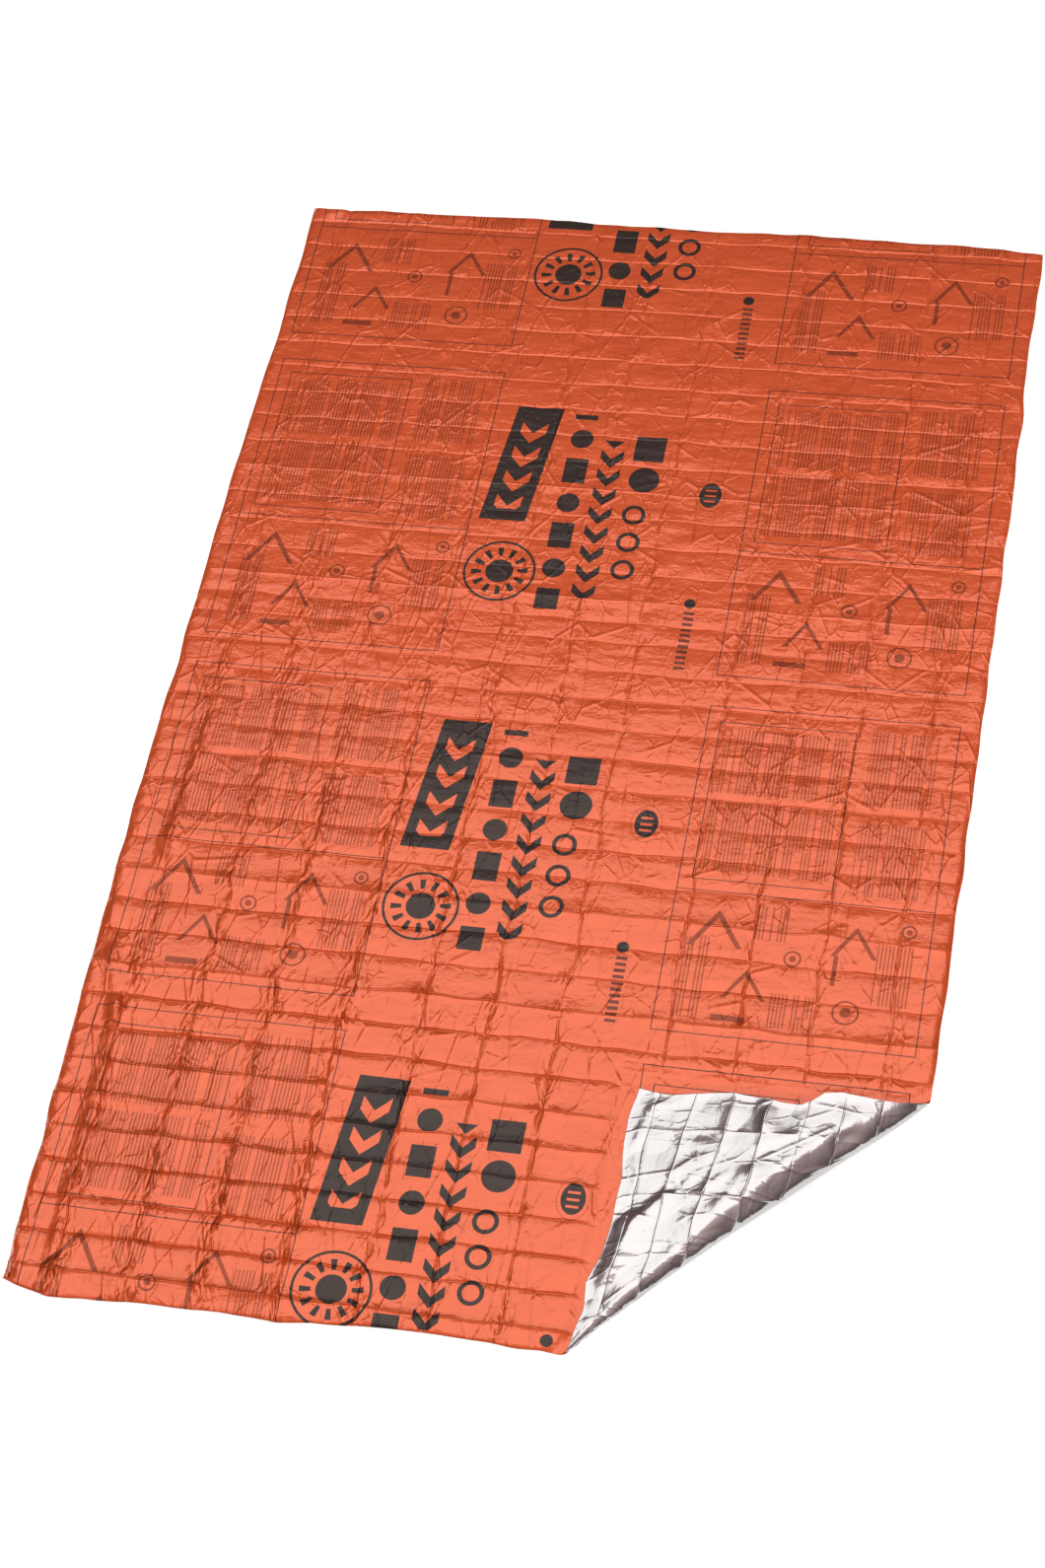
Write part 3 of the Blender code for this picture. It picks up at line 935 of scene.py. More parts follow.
@dataclass(frozen=True)
class PrintDesign:
    """Where the printed shapes lie, in metres on the flat cut.

    The design repeats down the length. Along is measured down from the top of a repeat.
    """

    repeat: float = 0.745
    repeat_top: float = 1.594         # the top of a repeat, above the cut's top edge
    line: float = 0.0020              # a thin rule
    rule: float = 0.85                # how strongly it shows
    print_pitch: float = 0.0066       # rows of small print, drawn coarser than their real 4.7 mm
    word: float = 0.110
    fine: float = 0.44                # how strongly fine print shows through the gloss
    faint: float = 0.60
    # The instruction panels. What lies in them is measured from their left side.
    left_panel: float = -0.725        # the left side of each panel
    right_panel: float = 0.265
    parting: float = 0.1              # what lies right of this belongs to the right panel
    panel: Block = Block(0.230, 0.3725, 0.230, 0.339)
    inner_panel: Block = Block(0.150, 0.235, 0.126, 0.168)
    cross_rule: Block = Block(0.230, 0.425, 0.230, 0.0010)
    texts: tuple = (
        Block(0.150, 0.150, 0.115, 0.070), Block(0.150, 0.310, 0.115, 0.075),
        Block(0.365, 0.140, 0.060, 0.080), Block(0.365, 0.330, 0.060, 0.075),
        Block(0.055, 0.600, 0.024, 0.080), Block(0.180, 0.480, 0.030, 0.034),
        Block(0.235, 0.650, 0.040, 0.034), Block(0.400, 0.560, 0.034, 0.060))
    shelters: tuple = (               # the middle, top and height of each
        (0.085, 0.462, 0.075), (0.330, 0.470, 0.062), (0.150, 0.575, 0.060))
    shelter_slope: float = 1.5
    shelter_leg: float = 0.11         # half of a leg's thickness, against the height
    suns: tuple = (                   # the middle and radius of each
        (0.330, 0.640, 0.022), (0.225, 0.545, 0.014), (0.420, 0.470, 0.012))
    sun_line: float = 0.004
    sun_heart: float = 0.45           # the disc inside, in radii
    strokes: tuple = (Block(0.300, 0.560, 0.004, 0.030), Block(0.130, 0.675, 0.030, 0.006))
    # The bold signal shapes.
    banner: Block = Block(-0.164, 0.255, 0.046, 0.140)
    banner_slant: float = 0.10
    banner_inside: Block = Block(-0.164, 0.255, 0.026, 0.112)
    banner_arrows: tuple = (0.060, 0.42)  # the pitch and fill of its arrows
    big_sun: tuple = (-0.185, 0.515)
    big_disc: float = 0.027
    rays: int = 12
    ray_fill: float = 0.40
    ray_band: tuple = (0.045, 0.020)  # the radius and line of the rays' ring,
    outer_ring: tuple = (0.068, 0.005)    # and of the one outside
    beads: Block = Block(-0.082, 0.360, 0.0225, 0.234)
    bead_pitch: float = 0.156
    bead_dash: Block = Block(-0.082, 0.108, 0.0225, 0.030)
    bead_dot: tuple = (-0.082, 0.030)
    arrow_row: Block = Block(-0.016, 0.375, 0.0225, 0.190)
    arrows: tuple = (0.046, 0.45)     # their pitch and fill
    square: Block = Block(0.056, 0.200, 0.030, 0.030)
    disc: tuple = (0.056, 0.275)
    rings: tuple = ((0.050, 0.360), (0.050, 0.425), (0.050, 0.490))
    ring_size: tuple = (0.019, 0.008)     # the radius and line of each
    # The narrow column.
    oval: tuple = (0.190, 0.300)
    oval_squash: float = 1.35
    oval_radius: float = 0.0215
    oval_ring: tuple = (0.0285, 0.0014)
    oval_inside: Block = Block(0.190, 0.300, 0.011, 0.018)
    oval_bars: tuple = (0.013, 0.35)  # their pitch and fill
    ladder: Block = Block(0.193, 0.640, 0.010, 0.066)
    ladder_bars: tuple = (0.0125, 0.55)
    ladder_ink: float = 0.8
    caption: Block = Block(0.212, 0.640, 0.003, 0.066)
    caption_pitch: float = 0.006
    dot: tuple = (0.191, 0.556)
    dot_radius: float = 0.011

    def panel_ink(self, ink: InkPlan, at: At) -> Source:
        """Draw both instruction panels: a ruled frame, small print and simple pictures.

        Args:
            ink: The material to draw in.
            at: The flat cut's coordinates.

        Returns:
            The panels' mask. What lies right of the parting is moved left by the step between
            the panels, so that both show the same.
        """
        on_right = ink.add("Math", (at.across, self.parting), operation="GREATER_THAN")
        step = ink.both(on_right, self.left_panel - self.right_panel)
        start = ink.add("Math", (at.across, -self.left_panel), operation="ADD")
        inside = At(ink.add("Math", (start, step), operation="ADD"), at.along)
        rules = ink.any_of([
            ink.frame(inside, self.panel, self.line),
            ink.frame(inside, self.inner_panel, self.line),
            ink.box(inside, self.cross_rule)])
        print_rows = ink.small_print(inside, self.print_pitch, self.word)
        text = ink.both(print_rows, ink.boxes(inside, self.texts))
        return ink.any_of([
            ink.both(rules, self.rule),
            ink.both(text, self.fine),
            ink.both(self.pictures(ink, inside), self.faint)])

    def pictures(self, ink: InkPlan, at: At) -> Source:
        """Draw the panels' simple pictures: shelters, suns and strokes.

        Args:
            ink: The material to draw in.
            at: The panel's own coordinates.

        Returns:
            The pictures' mask. A shelter's two legs lie near a line that runs down from its
            top, by the slope times the distance aside.
        """
        masks = [ink.boxes(at, self.strokes)]
        for middle, top, tall in self.shelters:
            aside = ink.aside(at.across, middle)
            slope = ink.add("Math", (aside, self.shelter_slope, top), operation="MULTIPLY_ADD")
            down = ink.add("Math", (at.along, slope), operation="SUBTRACT")
            leg = tall * self.shelter_leg
            legs = ink.add("Math", (down, leg, leg), operation="COMPARE")
            masks.append(ink.both(legs, ink.box(at, Block(middle, top + tall / 2, tall, tall / 2))))
        for *middle, radius in self.suns:
            far = ink.distance(at, middle)
            masks.append(ink.ring(far, radius, self.sun_line))
            masks.append(ink.disc(far, radius * self.sun_heart))
        return ink.any_of(masks)

    def signal_ink(self, ink: InkPlan, at: At) -> Source:
        """Draw the bold signal shapes down the middle.

        A slanted dark banner holds bright arrows, with a sun below it. Beside them run a row of
        dots and dashes and a row of arrows, and then a square over a disc, and three rings.

        Args:
            ink: The material to draw in.
            at: The flat cut's coordinates.

        Returns:
            The shapes' mask.
        """
        slant = ink.add("Math", (at.along, self.banner_slant, at.across), operation="MULTIPLY_ADD")
        slanted = At(slant, at.along)
        bright = ink.both(
            ink.chevrons(slanted, self.banner.across, *self.banner_arrows),
            ink.box(slanted, self.banner_inside))
        bead = At(at.across, ink.add("Math", (at.along, self.bead_pitch, 0.0), operation="WRAP"))
        dot = ink.disc(ink.distance(bead, self.bead_dot), self.beads.half_width)
        beads = ink.any_of([ink.box(bead, self.bead_dash), dot])
        arrows = ink.chevrons(at, self.arrow_row.across, *self.arrows)
        return ink.any_of([
            ink.without(ink.box(slanted, self.banner), bright),
            self.sun_ink(ink, at),
            ink.both(ink.box(at, self.beads), beads),
            ink.both(ink.box(at, self.arrow_row), arrows),
            ink.box(at, self.square),
            ink.disc(ink.distance(at, self.disc), self.square.half_width),
            *(ink.ring(ink.distance(at, place), *self.ring_size) for place in self.rings)])

    def sun_ink(self, ink: InkPlan, at: At) -> Source:
        """Draw the big sun.

        Args:
            ink: The material to draw in.
            at: The flat cut's coordinates.

        Returns:
            The mask of a disc, of rays by the bearing round it, and of a ring outside.
        """
        far = ink.distance(at, self.big_sun)
        off = [ink.add("Math", pair, operation="SUBTRACT") for pair in zip(at, self.big_sun)]
        bearing = ink.add("Math", off, operation="ARCTAN2")
        rays = ink.stripes(bearing, TURN / self.rays, self.ray_fill)
        return ink.any_of([
            ink.disc(far, self.big_disc),
            ink.both(rays, ink.ring(far, *self.ray_band)),
            ink.ring(far, *self.outer_ring)])

    def column_ink(self, ink: InkPlan, at: At) -> Source:
        """Draw the narrow column: an oval in a ring, and a dot at the head of short bars.

        Args:
            ink: The material to draw in.
            at: The flat cut's coordinates.

        Returns:
            The column's mask.
        """
        far = ink.distance(at, self.oval, self.oval_squash)
        bars = ink.both(ink.stripes(at.along, *self.oval_bars), ink.box(at, self.oval_inside))
        ladder = ink.both(ink.stripes(at.along, *self.ladder_bars), ink.box(at, self.ladder))
        caption = ink.both(
            ink.small_print(at, self.caption_pitch, self.caption_pitch), ink.box(at, self.caption))
        return ink.any_of([
            ink.without(ink.disc(far, self.oval_radius), bars),
            ink.both(ink.ring(far, *self.oval_ring), self.fine),
            ink.disc(ink.distance(at, self.dot), self.dot_radius),
            ink.both(ladder, self.ladder_ink),
            ink.both(caption, self.faint)])

    def ink(self, plan: InkPlan) -> Source:
        """Draw the whole design.

        Args:
            plan: The material to draw in.

        Returns:
            One mask, from 0 where bare to 1 where black.
        """
        parts = plan.add("SeparateXYZ", (plan.add("UVMap", uv_map="cut"),))
        down = plan.add("Math", (parts.outputs[1], -1.0, self.repeat_top), operation="MULTIPLY_ADD")
        at = At(parts.outputs[0], plan.add("Math", (down, self.repeat), operation="MODULO"))
        return plan.any_of([
            self.panel_ink(plan, at), self.signal_ink(plan, at), self.column_ink(plan, at)])


class CrinkleNet(NamedTuple):
    """One network of fine straight creases, as sizes in metres."""

    cell: float           # the spacing of the lines
    width: float          # from a line's top to its foot
    height: float
    shown: float          # the noise level above which a line shows
    angle: float          # the slant of the stretched cells
    stretch: float


@dataclass(frozen=True)
class Crinkles:
    """The fine crumples that packing leaves in the film."""

    nets: tuple = (
        CrinkleNet(0.085, 0.0038, 0.0008, 0.43, 0.60, 1.8),
        CrinkleNet(0.050, 0.0029, 0.0006, 0.46, -0.75, 2.2),
        CrinkleNet(0.030, 0.0024, 0.0005, 0.50, 0.15, 1.5))
    patch_scale: float = 0.6          # a net's patches, against its cells,
    patch_detail: float = 1.0
    patch_edge: float = 0.12          # and the noise levels over which they fade in
    marbling: float = 0.00014         # the depth of the faint marbling
    marbling_size: float = 0.030
    marbling_band: float = 0.05       # how far from the noise's middle level a line dies away
    marbling_detail: float = 2.0
    swell: float = 0.0016
    swell_size: float = 0.055
    swell_detail: float = 3.0
    swell_squash: float = 0.45        # its swells lie across the width
    gather: float = 0.0090            # how steeply the gathers' pleats rise, over their width
    gather_width: float = 0.014
    gather_length: float = 0.042
    gather_sway: float = 0.016        # how far a pleat bends aside

    def gather_height(self, sketch: NodeSketch, cut: Source) -> Source:
        """Draw the gathers: long narrow pleats that sway along the crease.

        Args:
            sketch: The material to draw in.
            cut: The flat cut's coordinates.

        Returns:
            The height of cells, squeezed across and drawn out along the length, over a place
            that a slow noise moves aside. Each slopes up evenly from its border, so that its
            sides are flat facets, and its height grows with the film's own attribute.
        """
        slow = sketch.add(
            "TexNoise", {"Vector": cut, "Scale": 1.0 / self.gather_length, "Detail": 0.0},
            noise_dimensions="2D")
        aside = sketch.add("Attribute", attribute_name="aside").outputs["Fac"]
        down = sketch.add("SeparateXYZ", (cut,)).outputs[1]
        place = sketch.add("CombineXYZ", (aside, down))
        sway = (self.gather_sway, 0.0, 0.0)
        swayed = sketch.add(
            "VectorMath", (slow.outputs["Color"], sway, place), operation="MULTIPLY_ADD")
        scale = (1.0 / self.gather_width, 1.0 / self.gather_length, 1.0)
        squeezed = sketch.add("VectorMath", (swayed, scale), operation="MULTIPLY")
        strength = sketch.add("Attribute", attribute_name="gathers").outputs["Fac"]
        deep = sketch.add("Math", (strength, self.gather), operation="MULTIPLY")
        return sketch.add("Math", (self.cells(sketch, squeezed), deep), operation="MULTIPLY")

    def cells(self, sketch: NodeSketch, place: Source) -> Source:
        """Return the distance to the border of random cells, about one for each unit of place."""
        return sketch.add(
            "TexVoronoi", {"Vector": place, "Scale": 1.0, "Randomness": 1.0},
            voronoi_dimensions="2D", feature="DISTANCE_TO_EDGE").outputs["Distance"]

    def marbling_height(self, sketch: NodeSketch, cut: Source) -> Source:
        """Draw curved lines where a noise is near its middle level.

        Args:
            sketch: The material to draw in.
            cut: The flat cut's coordinates.

        Returns:
            One less the distance from the middle level, over the band, and never below 0.
        """
        noise = sketch.add(
            "TexNoise",
            {"Vector": cut, "Scale": 1.0 / self.marbling_size, "Detail": self.marbling_detail},
            noise_dimensions="2D")
        level = sketch.add("Math", (noise, 0.5), operation="SUBTRACT")
        away = sketch.add("Math", (level,), operation="ABSOLUTE")
        return sketch.add("MapRange", {
            "Value": away, "From Max": self.marbling_band, "To Min": 1.0, "To Max": 0.0})

    def net_height(self, sketch: NodeSketch, cut: Source, net: CrinkleNet) -> Source:
        """Draw one network of straight creases.

        Args:
            sketch: The material to draw in.
            cut: The flat cut's coordinates.
            net: The network's sizes.

        Returns:
            Its height. A line runs along each border between two cells, and slopes down evenly
            from the border to its foot. It shows only where a slow noise is above its level.
        """
        scale = (1.0 / net.cell, 1.0 / (net.cell * net.stretch), 1.0)
        turned = sketch.add(
            "Mapping", {"Vector": cut, "Rotation": (0.0, 0.0, net.angle), "Scale": scale})
        slope = sketch.add("MapRange", {
            "Value": self.cells(sketch, turned), "From Min": 0.0,
            "From Max": net.width / net.cell, "To Min": net.height, "To Max": 0.0})
        patch = sketch.add(
            "TexNoise", {"Vector": turned, "Scale": self.patch_scale, "Detail": self.patch_detail},
            noise_dimensions="2D")
        shown = sketch.add("MapRange", {
            "Value": patch, "From Min": net.shown, "From Max": net.shown + self.patch_edge})
        return sketch.add("Math", (slope, shown), operation="MULTIPLY")

    def normal(self, sketch: NodeSketch) -> Source:
        """Bump the film by the gathers, the marbling, the networks and a slow swell together.

        Args:
            sketch: The material to draw in.

        Returns:
            The normal of the sum of their heights.
        """
        cut = sketch.add("UVMap", uv_map="cut")
        total = self.gather_height(sketch, cut)
        lines = self.marbling_height(sketch, cut)
        total = sketch.add("Math", (lines, -self.marbling, total), operation="MULTIPLY_ADD")
        for net in self.nets:
            total = sketch.add("Math", (total, self.net_height(sketch, cut, net)), operation="ADD")
        squash = (1.0, 1.0 / self.swell_squash, 1.0)
        squashed = sketch.add("VectorMath", (cut, squash), operation="MULTIPLY")
        swell = sketch.add(
            "TexNoise",
            {"Vector": squashed, "Scale": 1.0 / self.swell_size, "Detail": self.swell_detail},
            noise_dimensions="2D")
        total = sketch.add("Math", (swell, self.swell, total), operation="MULTIPLY_ADD")
        return sketch.add("Bump", {"Strength": 1.0, "Distance": 1.0, "Height": total})


@dataclass(frozen=True)
class PrintedFilm:
    """Metallised polyethylene film, flexo-printed with translucent orange ink.

    The metal under the ink gives the eye a coloured, blurred mirror, and the film's own face a
    second, white and sharper one over it. The black ink is matt, and dulls both.
    """

    orange: str = "#CD4F04"
    orange_worn: str = "#C64802"
    cloud_scale: float = 9.0          # clouds of worn ink, about 0.1 m across
    cloud_detail: float = 3.0
    black: str = "#2A201D"
    metallic: float = 0.50
    roughness: float = 0.33
    coat_bare: float = 1.0
    coat_inked: float = 0.2
    ink_dulls: float = 1.6            # fine print dulls the gloss more than it darkens the ink
    coat_roughness: float = 0.13
    coat_ior: float = 1.55

    def material(self) -> bpy.types.Material:
        """Mix the orange and black inks by the design, under the film's own gloss.

        Returns:
            The orange face's material.
        """
        plan = InkPlan("printed_metallised_film")
        mask = PrintDesign().ink(plan)
        cut = plan.add("UVMap", uv_map="cut")
        cloud = plan.add(
            "TexNoise", {"Vector": cut, "Scale": self.cloud_scale, "Detail": self.cloud_detail},
            noise_dimensions="2D")
        ground = plan.add("Mix", {
            0: cloud, 6: linear(self.orange), 7: linear(self.orange_worn)}, data_type="RGBA")
        colour = plan.add("Mix", {
            0: mask, 6: ground.outputs[2], 7: linear(self.black)}, data_type="RGBA")
        dulled = plan.add("Math", (mask, self.ink_dulls), operation="MULTIPLY", use_clamp=True)
        gloss = plan.add("Mix", {0: dulled, 2: self.coat_bare, 3: self.coat_inked})
        normal = Crinkles().normal(plan)
        shader = plan.add("BsdfPrincipled", {
            "Base Color": colour.outputs[2],
            "Metallic": self.metallic,
            "Roughness": self.roughness,
            "Normal": normal,
            "Coat Weight": gloss,
            "Coat Roughness": self.coat_roughness,
            "Coat IOR": self.coat_ior,
            "Coat Normal": normal})
        return plan.finish(shader)


@dataclass(frozen=True)
class SilverFilm:
    """Polyethylene film coated with aluminium vapour, bare and bright.

    It gives the eye a nearly sharp mirror, which its folds break into bright and dark facets.
    """

    silver: str = "#BCBEC2"
    roughness: float = 0.19
    crinkles: Crinkles = Crinkles(
        nets=(
            CrinkleNet(0.085, 0.0050, 0.0007, 0.45, 0.60, 1.8),
            CrinkleNet(0.050, 0.0040, 0.0004, 0.47, -0.75, 2.2),
            CrinkleNet(0.026, 0.0030, 0.0003, 0.51, 0.15, 1.5)),
        # So wide and deep, the marbling's lines turn into broad facets between the sharp folds.
        marbling=0.0028, marbling_size=0.078, marbling_band=0.5, marbling_detail=0.0,
        swell=0.0008, gather=0.0030)

    def material(self) -> bpy.types.Material:
        """Return the silver face's material."""
        sketch = NodeSketch("bare_aluminised_film")
        return sketch.finish(sketch.add("BsdfPrincipled", {
            "Base Color": linear(self.silver),
            "Metallic": 1.0,
            "Roughness": self.roughness,
            "Normal": self.crinkles.normal(sketch)}))


# --- The blanket ----------------------------------------------------------------------------------
class Film(NamedTuple):
    """Both faces of the film over its grid, and what the finishes read from it."""

    printed: np.ndarray
    silver: np.ndarray
    flat: np.ndarray      # x and y on the flat cut
    gathers: np.ndarray   # how strongly the film is gathered
    aside: np.ndarray     # how far it lies aside of the nearest lengthwise crease


@dataclass
class Blanket:
    """The whole sheet of film as one closed thin shell."""

    sheet: CutSheet = field(default_factory=CutSheet)
    relief: Relief = field(default_factory=Relief)
    name: str = "foil_blanket"
    bow: float = 0.0012               # how far creases and edges bow between crossings
    arc: float = 0.0055               # how far a lengthwise crease arcs aside within a panel
    loose: Growth = Growth(0.5, -0.5, 0.25, -0.35)      # where it arcs most,
    loose_least: float = 0.25         # and its least share elsewhere
    bows: Waves = field(default_factory=lambda: Waves(8, 12, 0.05, 0.20))
    side_bows: Waves = field(default_factory=lambda: Waves(9, 12, 0.05, 0.20))
    arc_seed: int = 12
    edge_pull: float = 0.06           # how far in from an edge the flap's waves reach
    uneven: tuple = (0.8, 0.4, 0.2, 1.2)  # the placed folds' mean, spread, least and greatest
    rim_least: float = 0.35           # the share of the relief left at the cut edges,
    rim: float = 0.12                 # and the share of a panel over which it comes back
    back_less: float = 0.6            # how much of it the flap loses under its own weight
    shift_apart: float = 0.31         # parts one crease's pleats from the next one's

    def flat_points(self, spots: Spots) -> tuple:
        """Place the grid's points on the flat cut.

        Args:
            spots: Where the points lie among the creases.

        Returns:
            x and y: straight between the crossings, with a sine's arc along each lengthwise
            crease, the flap's waves faded in beside its two edges, and a slow bow all over.
        """
        crossing_x, crossing_y = self.sheet.crossings()
        x, y = (
            spots.read(table) * (1 - spots.down) + spots.read(table, 1) * spots.down
            for table in (crossing_x, crossing_y))
        arcs = np.random.default_rng(self.arc_seed).uniform(-1.0, 1.0, crossing_x.shape)
        arcs[:, [0, -1]] = 0.0
        loose = from_least(self.loose_least, self.loose.at(x, y))
        x = x + self.arc * loose * spots.read(arcs) * np.sin(math.pi * spots.down)
        right, bottom = self.sheet.width / 2, -self.sheet.length / 2
        by_top = smooth_step(x, right - self.edge_pull, right)
        by_side = smooth_step(y, bottom + self.edge_pull, bottom)
        x, y = x + by_top * read_edge(FLAP_TOP, y), y - by_side * read_edge(FLAP_SIDE, x)
        return x + self.bow * self.side_bows.at(x, y), y + self.bow * self.bows.at(x, y)

    def surface(self) -> Film:
        """Work out both faces of the film.

        Returns:
            The film. Its silver face is the flat cut, carried round the corner and lifted along
            its normals, but never below the floor. The printed face lies a thickness above it.
            A step is added at each lengthwise crease, so that no two have the same gathers.
        """
        spots = self.sheet.grid()
        x, y = self.flat_points(spots)
        corner = TurnedCorner(self.sheet)
        points = corner.carry(x, y)
        normals = self.grid_normals(points)
        back = corner.lying_back(x, y)
        mean, spread, least, greatest = self.uneven
        uneven = np.clip(mean + spread * self.relief.swells.at(y, x), least, greatest)
        lift = self.relief.height(self.sheet, spots, x, y)
        lift = lift + uneven * wrinkle_lift(self.relief.floor_wrinkles, x, y)
        row, column = spots.row, spots.column
        edge = np.minimum.reduce([row, row.max() - row, column, column.max() - column])
        lift = lift * from_least(self.rim_least, smooth_step(edge, 0.0, self.rim))
        lift = lift * (1.0 - corner.pressed(x, y) * (1.0 - back)) * (1.0 - self.back_less * back)
        flap = wrinkle_lift(self.relief.flap_wrinkles, points[..., 0], points[..., 1])
        silver = points + normals * (lift - back * flap)[..., None]
        silver[..., 2] = np.maximum(silver[..., 2], 0.0)
        return Film(
            printed=silver + normals * self.sheet.thickness,
            silver=silver,
            flat=np.stack([x, y], axis=-1),
            gathers=self.relief.gathers(self.sheet, spots, x, y),
            aside=spots.aside() + self.shift_apart * spots.nearest())

    def faces(self, rows: int, columns: int) -> tuple:
        """Join the grid's points up: both faces, and the rim between them.

        Args:
            rows: The grid's number of rows.
            columns: And of columns.

        Returns:
            The triangles, by their points' numbers, and the finish of each. A cell is parted
            along the fold's own direction, so that the roll's facets run straight along it.
        """
        number = np.arange(rows * columns).reshape(rows, columns)
        a, b = number[:-1, :-1].ravel(), number[:-1, 1:].ravel()
        c, d = number[1:, 1:].ravel(), number[1:, :-1].ravel()
        printed = np.concatenate([np.stack([d, c, b], -1), np.stack([d, b, a], -1)])
        silver = printed[:, ::-1] + rows * columns
        loop = np.concatenate([
            number[0, :], number[1:, -1], number[-1, -2::-1], number[-2:0:-1, 0]])
        after = np.roll(loop, -1)
        under, under_after = loop + rows * columns, after + rows * columns
        rim = np.concatenate([
            np.stack([loop, after, under_after], -1), np.stack([loop, under_after, under], -1)])
        finish = np.repeat(
            [Face.PRINTED.value, Face.SILVER.value], [len(printed), len(silver) + len(rim)])
        return np.concatenate([printed, silver, rim]), finish

    def grid_normals(self, points: np.ndarray) -> np.ndarray:
        """Return the printed side's normals, across the directions to the grid's neighbours."""
        normals = np.cross(np.gradient(points, axis=1), -np.gradient(points, axis=0))
        return normals / np.linalg.norm(normals, axis=-1, keepdims=True)

    def soft_normals(self, points: np.ndarray, triangles: np.ndarray) -> np.ndarray:
        """Shade the mesh so that a panel's wide flat triangles stay flat up to its thin creases.

        Args:
            points: The mesh's points.
            triangles: Its triangles, by their points' numbers.

        Returns:
            Each point's normal, as the sum of its triangles' normals by area.
        """
        corner = points[triangles]
        area = np.cross(corner[:, 1] - corner[:, 0], corner[:, 2] - corner[:, 0])
        total = np.zeros_like(points)
        for turn in range(3):
            np.add.at(total, triangles[:, turn], area)
        return total / np.linalg.norm(total, axis=1, keepdims=True)

    def build(self) -> bpy.types.Object:
        """Build the shell, centre it over the frame's own sheet, and map it with the flat cut.

        Returns:
            The new object.
        """
        film = self.surface()
        triangles, finish = self.faces(*film.gathers.shape)
        points = np.concatenate([film.printed.reshape(-1, 3), film.silver.reshape(-1, 3)])
        low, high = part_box(NODE)
        middle = (points.min(axis=0) + points.max(axis=0)) / 2
        shift = np.array([(low.x + high.x) / 2 - middle[0], (low.y + high.y) / 2 - middle[1], 0.0])
        LOG.info("%s: moved by %.4f, %.4f m onto the frame", self.name, shift[0], shift[1])
        mesh = bpy.data.meshes.new(self.name)
        mesh.from_pydata((points + shift).tolist(), [], triangles.tolist())
        mesh.polygons.foreach_set("material_index", finish.astype(np.int32))
        cut = mesh.uv_layers.new(name="cut")
        flat = np.tile(film.flat.reshape(-1, 2), (2, 1))
        cut.data.foreach_set("uv", flat[triangles.ravel()].astype(np.float32).ravel())
        for label in ("gathers", "aside"):
            layer = mesh.attributes.new(label, "FLOAT", "POINT")
            values = np.tile(getattr(film, label).ravel(), 2)
            layer.data.foreach_set("value", values.astype(np.float32))
        mesh.shade_smooth()
        mesh.normals_split_custom_set_from_vertices(self.soft_normals(points, triangles))
        piece = bpy.data.objects.new(self.name, mesh)
        bpy.context.scene.collection.objects.link(piece)
        return piece

    def dress(self, piece: bpy.types.Object) -> None:
        """Give the piece its two finishes, in the order of its slots."""
        piece.data.materials.append(PrintedFilm().material())
        piece.data.materials.append(SilverFilm().material())

    def place(self) -> bpy.types.Object:
        """Build and dress the blanket, and tell the frame what it is.

        Returns:
            The finished piece.
        """
        piece = self.build()
        self.dress(piece)
        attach(piece, "root")
        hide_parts(NODE)
        LOG.info("%s: %d triangles", piece.name, len(piece.data.polygons))
        return piece


# --- The studio -----------------------------------------------------------------------------------
class Softbox(NamedTuple):
    """One rectangular soft light."""

    name: str
    place: tuple          # its middle
    aim: tuple            # the point that it faces
    size: tuple           # its width and length
    power: float          # its output, in watts
    mirrored: bool        # whether glossy faces show it


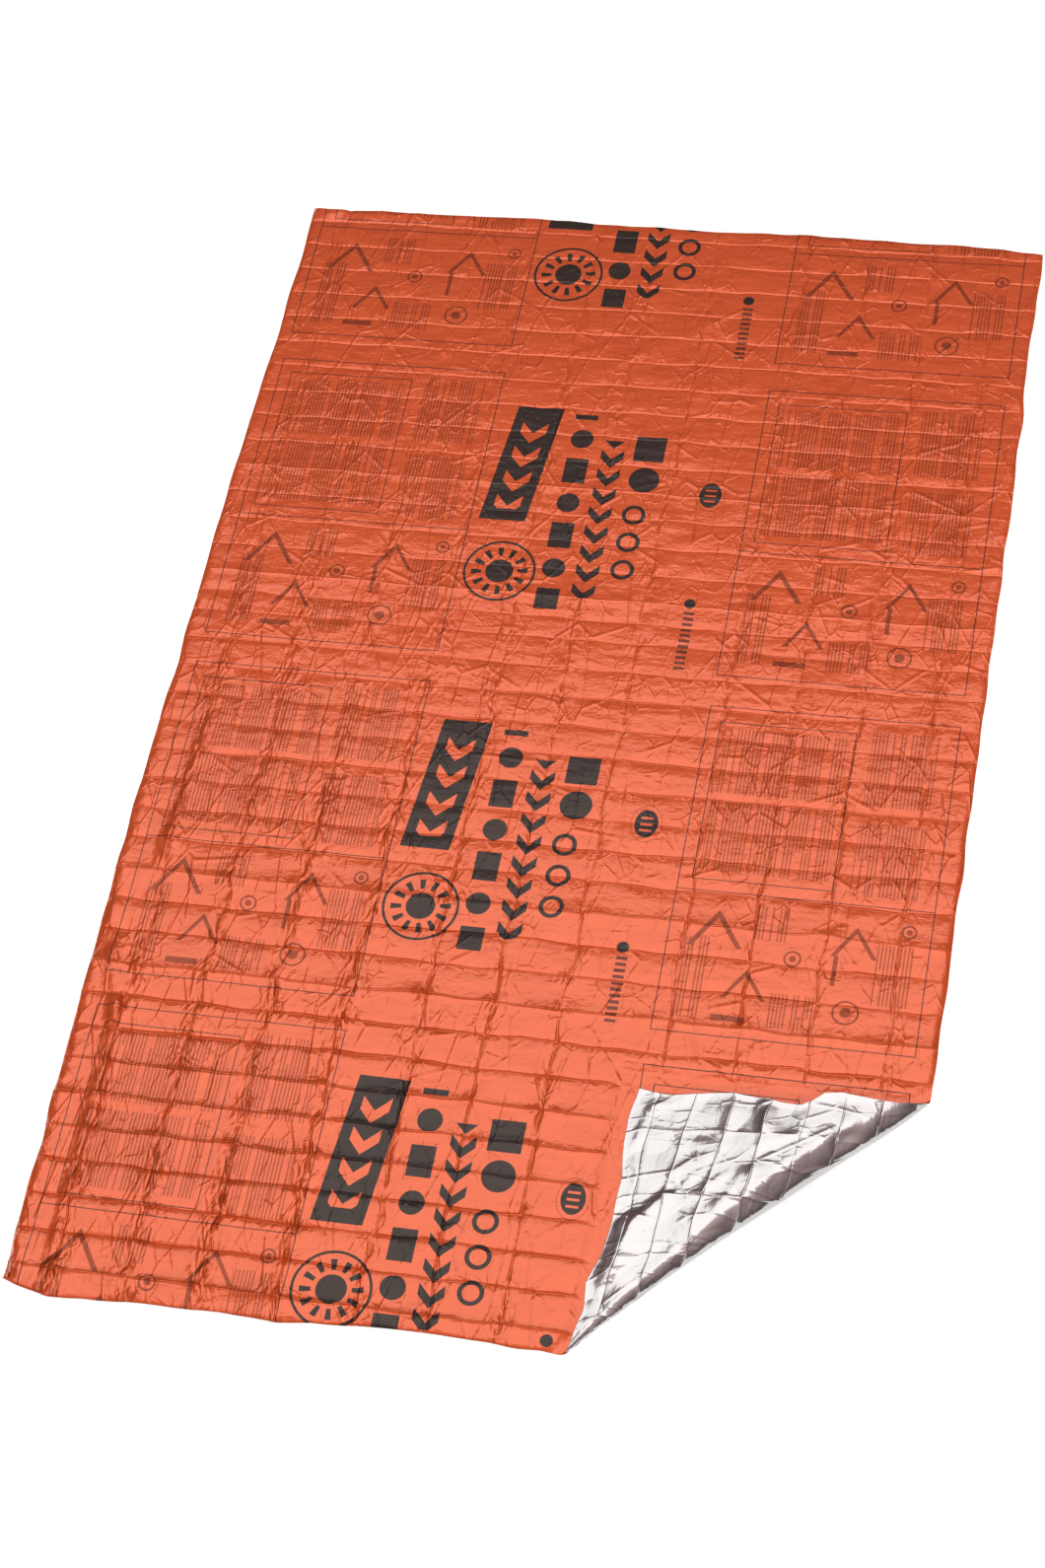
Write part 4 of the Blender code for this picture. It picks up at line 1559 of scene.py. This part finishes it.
@dataclass
class Studio:
    """A pale floor, soft light from above and a camera at the photograph's angle."""

    floor_size: float = 60.0
    floor_colour: str = "#E6E6E6"
    floor_roughness: float = 0.9
    floor_glow: float = 0.43          # lifts the floor to the photograph's plain white
    floor_drop: float = 0.0004        # how far it lies under the film
    world_colour: str = "#FFDED8"
    world_low: float = 0.115          # the room's brightness at the horizon
    world_rise: float = 0.79          # how much brighter it is straight above
    lamp_colour: str = "#F9FEF8"
    softboxes: tuple = (
        Softbox("overhead", (-0.4, 0.80, 4.2), (-0.4, 0.80, 0.0), (5.6, 4.3), 98.0, True),
        Softbox("front_fill", (3.0, -8.5, 9.0), (0.0, 0.0, 0.0), (5.0, 5.0), 940.0, False))
    lens: float = 73.45               # for a 36 mm sensor along the picture's height
    sensor: float = 36.0
    eye: tuple = (1.1385, -3.1044, 4.8867)
    right: tuple = (0.97488, 0.18461, -0.12464)
    down: tuple = (0.09094, -0.84066, -0.53387)
    ahead: tuple = (-0.20334, 0.50912, -0.83633)
    far_clip: float = 100.0

    def add_floor(self) -> None:
        """Lay a plain pale floor under the blanket."""
        half = self.floor_size / 2
        mesh = bpy.data.meshes.new("floor")
        corners = [(-half, -half, 0.0), (half, -half, 0.0), (half, half, 0.0), (-half, half, 0.0)]
        mesh.from_pydata(corners, [], [(0, 1, 2, 3)])
        floor = bpy.data.objects.new("floor", mesh)
        floor.location.z = -self.floor_drop
        bpy.context.scene.collection.objects.link(floor)
        sketch = NodeSketch("pale_studio_floor")
        shader = sketch.add("BsdfPrincipled", {
            "Base Color": linear(self.floor_colour),
            "Roughness": self.floor_roughness,
            "Emission Color": linear(self.floor_colour),
            "Emission Strength": self.floor_glow})
        mesh.materials.append(sketch.finish(shader))

    def add_softbox(self, softbox: Softbox) -> None:
        """Hang one rectangular soft light.

        Args:
            softbox: Its place, size and power.
        """
        lamp = bpy.data.lights.new(softbox.name, "AREA")
        lamp.shape = "RECTANGLE"
        lamp.size, lamp.size_y = softbox.size
        lamp.energy = softbox.power
        lamp.color = linear(self.lamp_colour)[:3]
        light = bpy.data.objects.new(softbox.name, lamp)
        light.location = softbox.place
        facing = Vector(softbox.aim) - Vector(softbox.place)
        light.rotation_euler = facing.to_track_quat("-Z", "Y").to_euler()
        light.visible_camera = False
        light.visible_glossy = softbox.mirrored
        bpy.context.scene.collection.objects.link(light)

    def add_world(self) -> None:
        """Fill the room with dim light, brighter overhead by the square of the height."""
        sky = NodeSketch("studio", world=True)
        parts = sky.add("SeparateXYZ", (sky.add("TexCoord").outputs["Generated"],))
        height = parts.outputs["Z"]
        square = sky.add("Math", (height, height), operation="MULTIPLY")
        level = sky.add("Math", (square, self.world_rise, self.world_low), operation="MULTIPLY_ADD")
        glow = sky.add("Background", {"Color": linear(self.world_colour), "Strength": level})
        bpy.context.scene.world = sky.finish(glow)

    def add_camera(self) -> None:
        """Stand the camera where the photograph was taken from."""
        lens = bpy.data.cameras.new("camera")
        lens.sensor_width = self.sensor
        lens.lens = self.lens
        lens.clip_end = self.far_clip
        camera = bpy.data.objects.new("camera", lens)
        turn = Matrix((self.right, -Vector(self.down), -Vector(self.ahead))).transposed()
        camera.matrix_world = Matrix.Translation(self.eye) @ turn.to_4x4()
        bpy.context.scene.collection.objects.link(camera)
        bpy.context.scene.camera = camera

    def build(self) -> None:
        """Set up the floor, the lights and the camera."""
        self.add_floor()
        self.add_world()
        for softbox in self.softboxes:
            self.add_softbox(softbox)
        self.add_camera()
        bpy.context.scene.view_settings.view_transform = "Standard"


def main() -> None:
    """Build the studio and the blanket."""
    logging.basicConfig(level=logging.INFO, format="%(name)s: %(message)s")
    Studio().build()
    Blanket().place()


if __name__ == "__main__":
    main()
